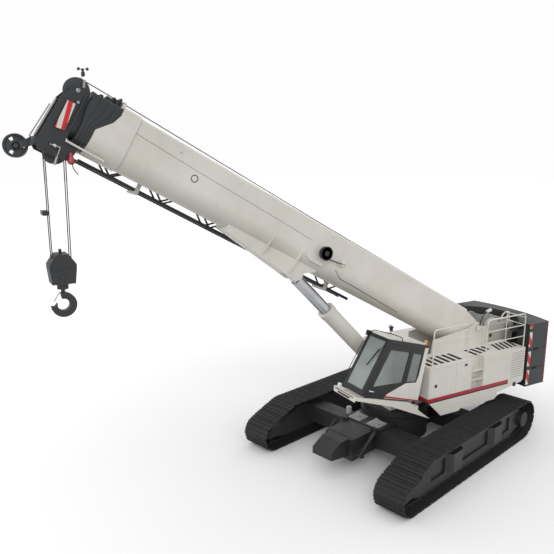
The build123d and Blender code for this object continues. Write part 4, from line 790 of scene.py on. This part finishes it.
addPlate(form, cabSizes["rear"], *cabSizes["rearY"])
addPlate(form, cabSizes["roof"], *cabSizes["roofY"])
addPlate(form, cabSizes["walk"], *cabSizes["walkY"])
makePiece("cab_white_panels", form, "cab", whitePaint, cabFrame, bevel=0.001)
form = bmesh.new()
addPlate(form, cabSizes["stripe"], cabSizes["side"] + cabSizes["thick"], cabSizes["side"] + cabSizes["stripeOut"])
makePiece("cab_stripe", form, "cab", stripeRed, cabFrame)

# wiper on the raked windscreen, rails, a corner block, lamps and the beacon
screenSizes = {"foot": 2.06, "head": 1.60, "high": 1.60, "sill": 0.07,
               "wiper": (((1.12, 0.84, 0.018), (1.28, 1.34, 0.018), 0.017),
                         ((1.20, 1.08, 0.034), (1.395, 1.50, 0.020), 0.008))}
rake = math.atan2(screenSizes["foot"] - screenSizes["head"], screenSizes["high"])


# point at a height of the windscreen, some way out of its face
def onScreen(y, z, out):
    x = screenSizes["foot"] - (z - screenSizes["sill"]) * math.tan(rake) + out * math.cos(rake)
    return Vector((x, y, z + out * math.sin(rake)))


fitSizes = {"roofRail": ((1.07, 1.40, 1.665), (1.10, 1.39, 1.76), (1.26, 1.24, 1.785), (1.38, 1.02, 1.775),
                         (1.50, 0.80, 1.755), (1.555, 0.66, 1.735), (1.56, 0.64, 1.665)),
            "grabRail": ((1.64, 0.60, 1.37), (1.69, 0.54, 1.37), (1.92, 0.53, 0.56), (1.88, 0.60, 0.56)),
            "corner": ((1.545, 0.53, 1.56), (1.655, 0.615, 1.70)),
            "lampPost": ((1.00, 0.80, 1.71), (1.02, 0.80, 1.84), 0.011),
            "lampBody": ((1.00, 0.80, 1.90), (1.12, 0.80, 1.93), 0.050),
            "lampFoot": ((0.98, 0.765, 1.81), (1.06, 0.835, 1.86)),
            "lens": ((1.122, 0.80, 1.931), (1.134, 0.80, 1.934), 0.042),
            "lowLamp": ((2.04, 0.47, 0.022), (2.12, 0.56, 0.115)),
            "beacon": ((0.0, 0.0), (0.055, 0.0), (0.055, 0.02), (0.045, 0.03), (0.045, 0.10), (0.03, 0.125),
                       (0.0, 0.13)), "beaconAt": (0.18, 1.36, 1.672),
            "handle": ((1.83, 1.45, 0.235), (1.83, 1.485, 0.235), (1.70, 1.485, 0.225), (1.70, 1.45, 0.225)),
            "pocketShade": ((2.208, -0.105), (2.2135, -0.105), (2.2145, -0.060), (2.208, -0.060)), "pocketShadeY": (0.66, 1.19)}
form = bmesh.new()
for start, end, radius in screenSizes["wiper"]:
    addBar(form, onScreen(*start), onScreen(*end), radius, 8)
addTube(form, fitSizes["roofRail"], 0.012, 0.04, 10)
addTube(form, fitSizes["grabRail"], 0.011, 0.03, 10)
addBlock(form, *fitSizes["corner"])
addBar(form, *fitSizes["lampPost"], 8)
addBar(form, *fitSizes["lampBody"], 16)
addBlock(form, *fitSizes["lampFoot"])
makePiece("cab_fittings", form, "cab", trimPlastic, cabFrame, bevel=0.002, smooth=True)
form = bmesh.new()
addBar(form, *fitSizes["lens"], 16)
addBlock(form, *fitSizes["lowLamp"])
makePiece("cab_lamps", form, "cab", lampGlass, cabFrame, bevel=0.006)
form = bmesh.new()
addTurned(form, fitSizes["beacon"], fitSizes["beaconAt"], "z", 24)
makePiece("cab_beacon", form, "cab", amberLens, cabFrame, smooth=True)
form = bmesh.new()
addTube(form, fitSizes["handle"], 0.014, 0.02, 8)
makePiece("door_handle", form, "cab_door", lampGlass, cabFrame, smooth=True)
# painted shade: a thin black plate on the walk's front edge stands for the shade in its pocket
form = bmesh.new()
addPlate(form, fitSizes["pocketShade"], *fitSizes["pocketShadeY"])
makePiece("catwalk_pocket_shade", form, "cab", blackGrip, cabFrame)

# inside the cab: consoles beside the seat, a lever each and a screen on the front pillar
seatSizes = {"consoles": (0.70, 1.30), "x": (0.95, 1.35), "half": 0.06, "z": (0.12, 0.62),
             "lever": (1.28, 1.32, 0.82), "leverR": 0.018,
             "screen": ((1.72, 0.66, 0.75), (1.76, 0.90, 1.00)),
             "column": ((1.62, 1.02, 0.12), (1.50, 1.02, 0.75), 0.03)}
form = bmesh.new()
rear, front = seatSizes["x"]
low, high = seatSizes["z"]
footX, gripX, gripZ = seatSizes["lever"]
for y in seatSizes["consoles"]:
    addBlock(form, (rear, y - seatSizes["half"], low), (front, y + seatSizes["half"], high))
    addBar(form, (footX, y, high), (gripX, y, gripZ), seatSizes["leverR"], 10)
addBlock(form, *seatSizes["screen"])
addBar(form, *seatSizes["column"], 12)
makePiece("cab_console", form, "cab", trimPlastic, cabFrame, bevel=0.012)
print("cab details done")

# chrome bar without a solid in the CAD: it covers the opening where the lift rod, which is too short,
# leaves its barrel near the boom's steepest angle
ramSizes = {"foot": (-0.36, 0.0, 1.45), "head": (3.6852, 0.0, 5.5177), "from": 2.174, "to": 4.855, "radius": 0.148}
form = bmesh.new()
foot, head = Vector(ramSizes["foot"]), Vector(ramSizes["head"])
along = (head - foot).normalized()
addBar(form, foot + along * ramSizes["from"], foot + along * ramSizes["to"], ramSizes["radius"], 40)
makePiece("ram_stage", form, "lift_piston", rodChrome, upperFrame, smooth=True)

# grey canister on the carbody beside the stowed floats
canSizes = {"at": (1.336, -0.675, 1.14),
            "profile": ((0.0, -0.11), (0.075, -0.11), (0.085, -0.10), (0.085, 0.09), (0.06, 0.11), (0.0, 0.11))}
form = bmesh.new()
addTurned(form, canSizes["profile"], canSizes["at"], "z", 24)
makePiece("carbody_can", form, "undercarriage", padAlloy, trackFrame, smooth=True)

# camera at the height of a lifted platform, ahead and to the left of the machine
eye = Vector((11.9421, 13.6722, 8.7859))
camera = bpy.data.objects.new("camera", bpy.data.cameras.new("camera"))
camera.data.sensor_width = 36.0
camera.data.lens = 40.45
camera.data.clip_end = 400.0
camera.matrix_world = Matrix((
    (-0.868935, -0.096874, 0.485353, eye.x),
    (0.494901, -0.179956, 0.850111, eye.y),
    (0.004989, 0.978893, 0.204313, eye.z),
    (0, 0, 0, 1),
))
bpy.context.scene.collection.objects.link(camera)
bpy.context.scene.camera = camera


# light path socket: true where the eye, a reflection or glass looks at the backdrop
def seenBackdrop(tree):
    path = addNode(tree, "ShaderNodeLightPath")
    first = addNode(tree, "ShaderNodeMath", {0: path.outputs["Is Camera Ray"], 1: path.outputs["Is Glossy Ray"]},
                    operation="MAXIMUM")
    both = addNode(tree, "ShaderNodeMath", {0: first.outputs[0], 1: path.outputs["Is Transmission Ray"]},
                   operation="MAXIMUM")
    return both.outputs[0]


# pale floor: white to the eye far off and a painted shade of darker grey near the machine, greyer as a bounce light,
# so that undersides stay darker
stageSizes = {"half": 150, "drop": -0.002, "seen": "#FEFEFE", "near": "#EBEBEB", "bounce": "#A3A3A0",
              "shadeFadeFrom": 4.0, "shadeFadeTo": 15.0, "sky": 0.98, "skyColour": "#FEFEFF",
              "key": 0.9, "keyWide": 30, "keyTilt": 58, "keyTurn": 146}
half, drop = stageSizes["half"], stageSizes["drop"]
floorMesh = bpy.data.meshes.new("floor")
corners = [(-half, -half, drop), (half, -half, drop), (half, half, drop), (-half, half, drop)]
floorMesh.from_pydata(corners, [], [(0, 1, 2, 3)])
floor = bpy.data.objects.new("floor", floorMesh)
bpy.context.scene.collection.objects.link(floor)
floorStuff = bpy.data.materials.new("pale studio floor")
floorStuff.use_nodes = True
tree = floorStuff.node_tree
shader = tree.nodes["Principled BSDF"]
place = addNode(tree, "ShaderNodeTexCoord").outputs["Object"]
# painted shade: the floor's colour darkens toward the machine, from white beyond 15 m to grey within 4 m
away = addNode(tree, "ShaderNodeVectorMath", {0: place}, operation="LENGTH").outputs["Value"]
nearShadeFade = addNode(tree, "ShaderNodeMapRange",
               {"Value": away, "From Min": stageSizes["shadeFadeFrom"], "From Max": stageSizes["shadeFadeTo"]})
seen = mixColour(tree, nearShadeFade.outputs["Result"], toLinear(stageSizes["near"]), toLinear(stageSizes["seen"]))
tree.links.new(mixColour(tree, seenBackdrop(tree), toLinear(stageSizes["bounce"]), seen), shader.inputs["Base Color"])
shader.inputs["Roughness"].default_value = 1.0
shader.inputs["Specular IOR Level"].default_value = 0.0
floorMesh.materials.append(floorStuff)

# soft studio light: an even sky and one wide key from the left front
world = bpy.data.worlds.new("studio")
world.use_nodes = True
tree = world.node_tree
background = tree.nodes["Background"]
background.inputs["Color"].default_value = toLinear(stageSizes["skyColour"])
skyPower = addNode(tree, "ShaderNodeMapRange",
                   {"Value": seenBackdrop(tree), "To Min": stageSizes["sky"], "To Max": 1.0})
tree.links.new(skyPower.outputs["Result"], background.inputs["Strength"])
bpy.context.scene.world = world
sun = bpy.data.objects.new("key", bpy.data.lights.new("key", "SUN"))
sun.data.energy = stageSizes["key"]
sun.data.angle = math.radians(stageSizes["keyWide"])
sun.rotation_euler = (math.radians(stageSizes["keyTilt"]), 0, math.radians(stageSizes["keyTurn"]))
bpy.context.scene.collection.objects.link(sun)
bpy.context.scene.view_settings.view_transform = "Standard"
print("stage done")
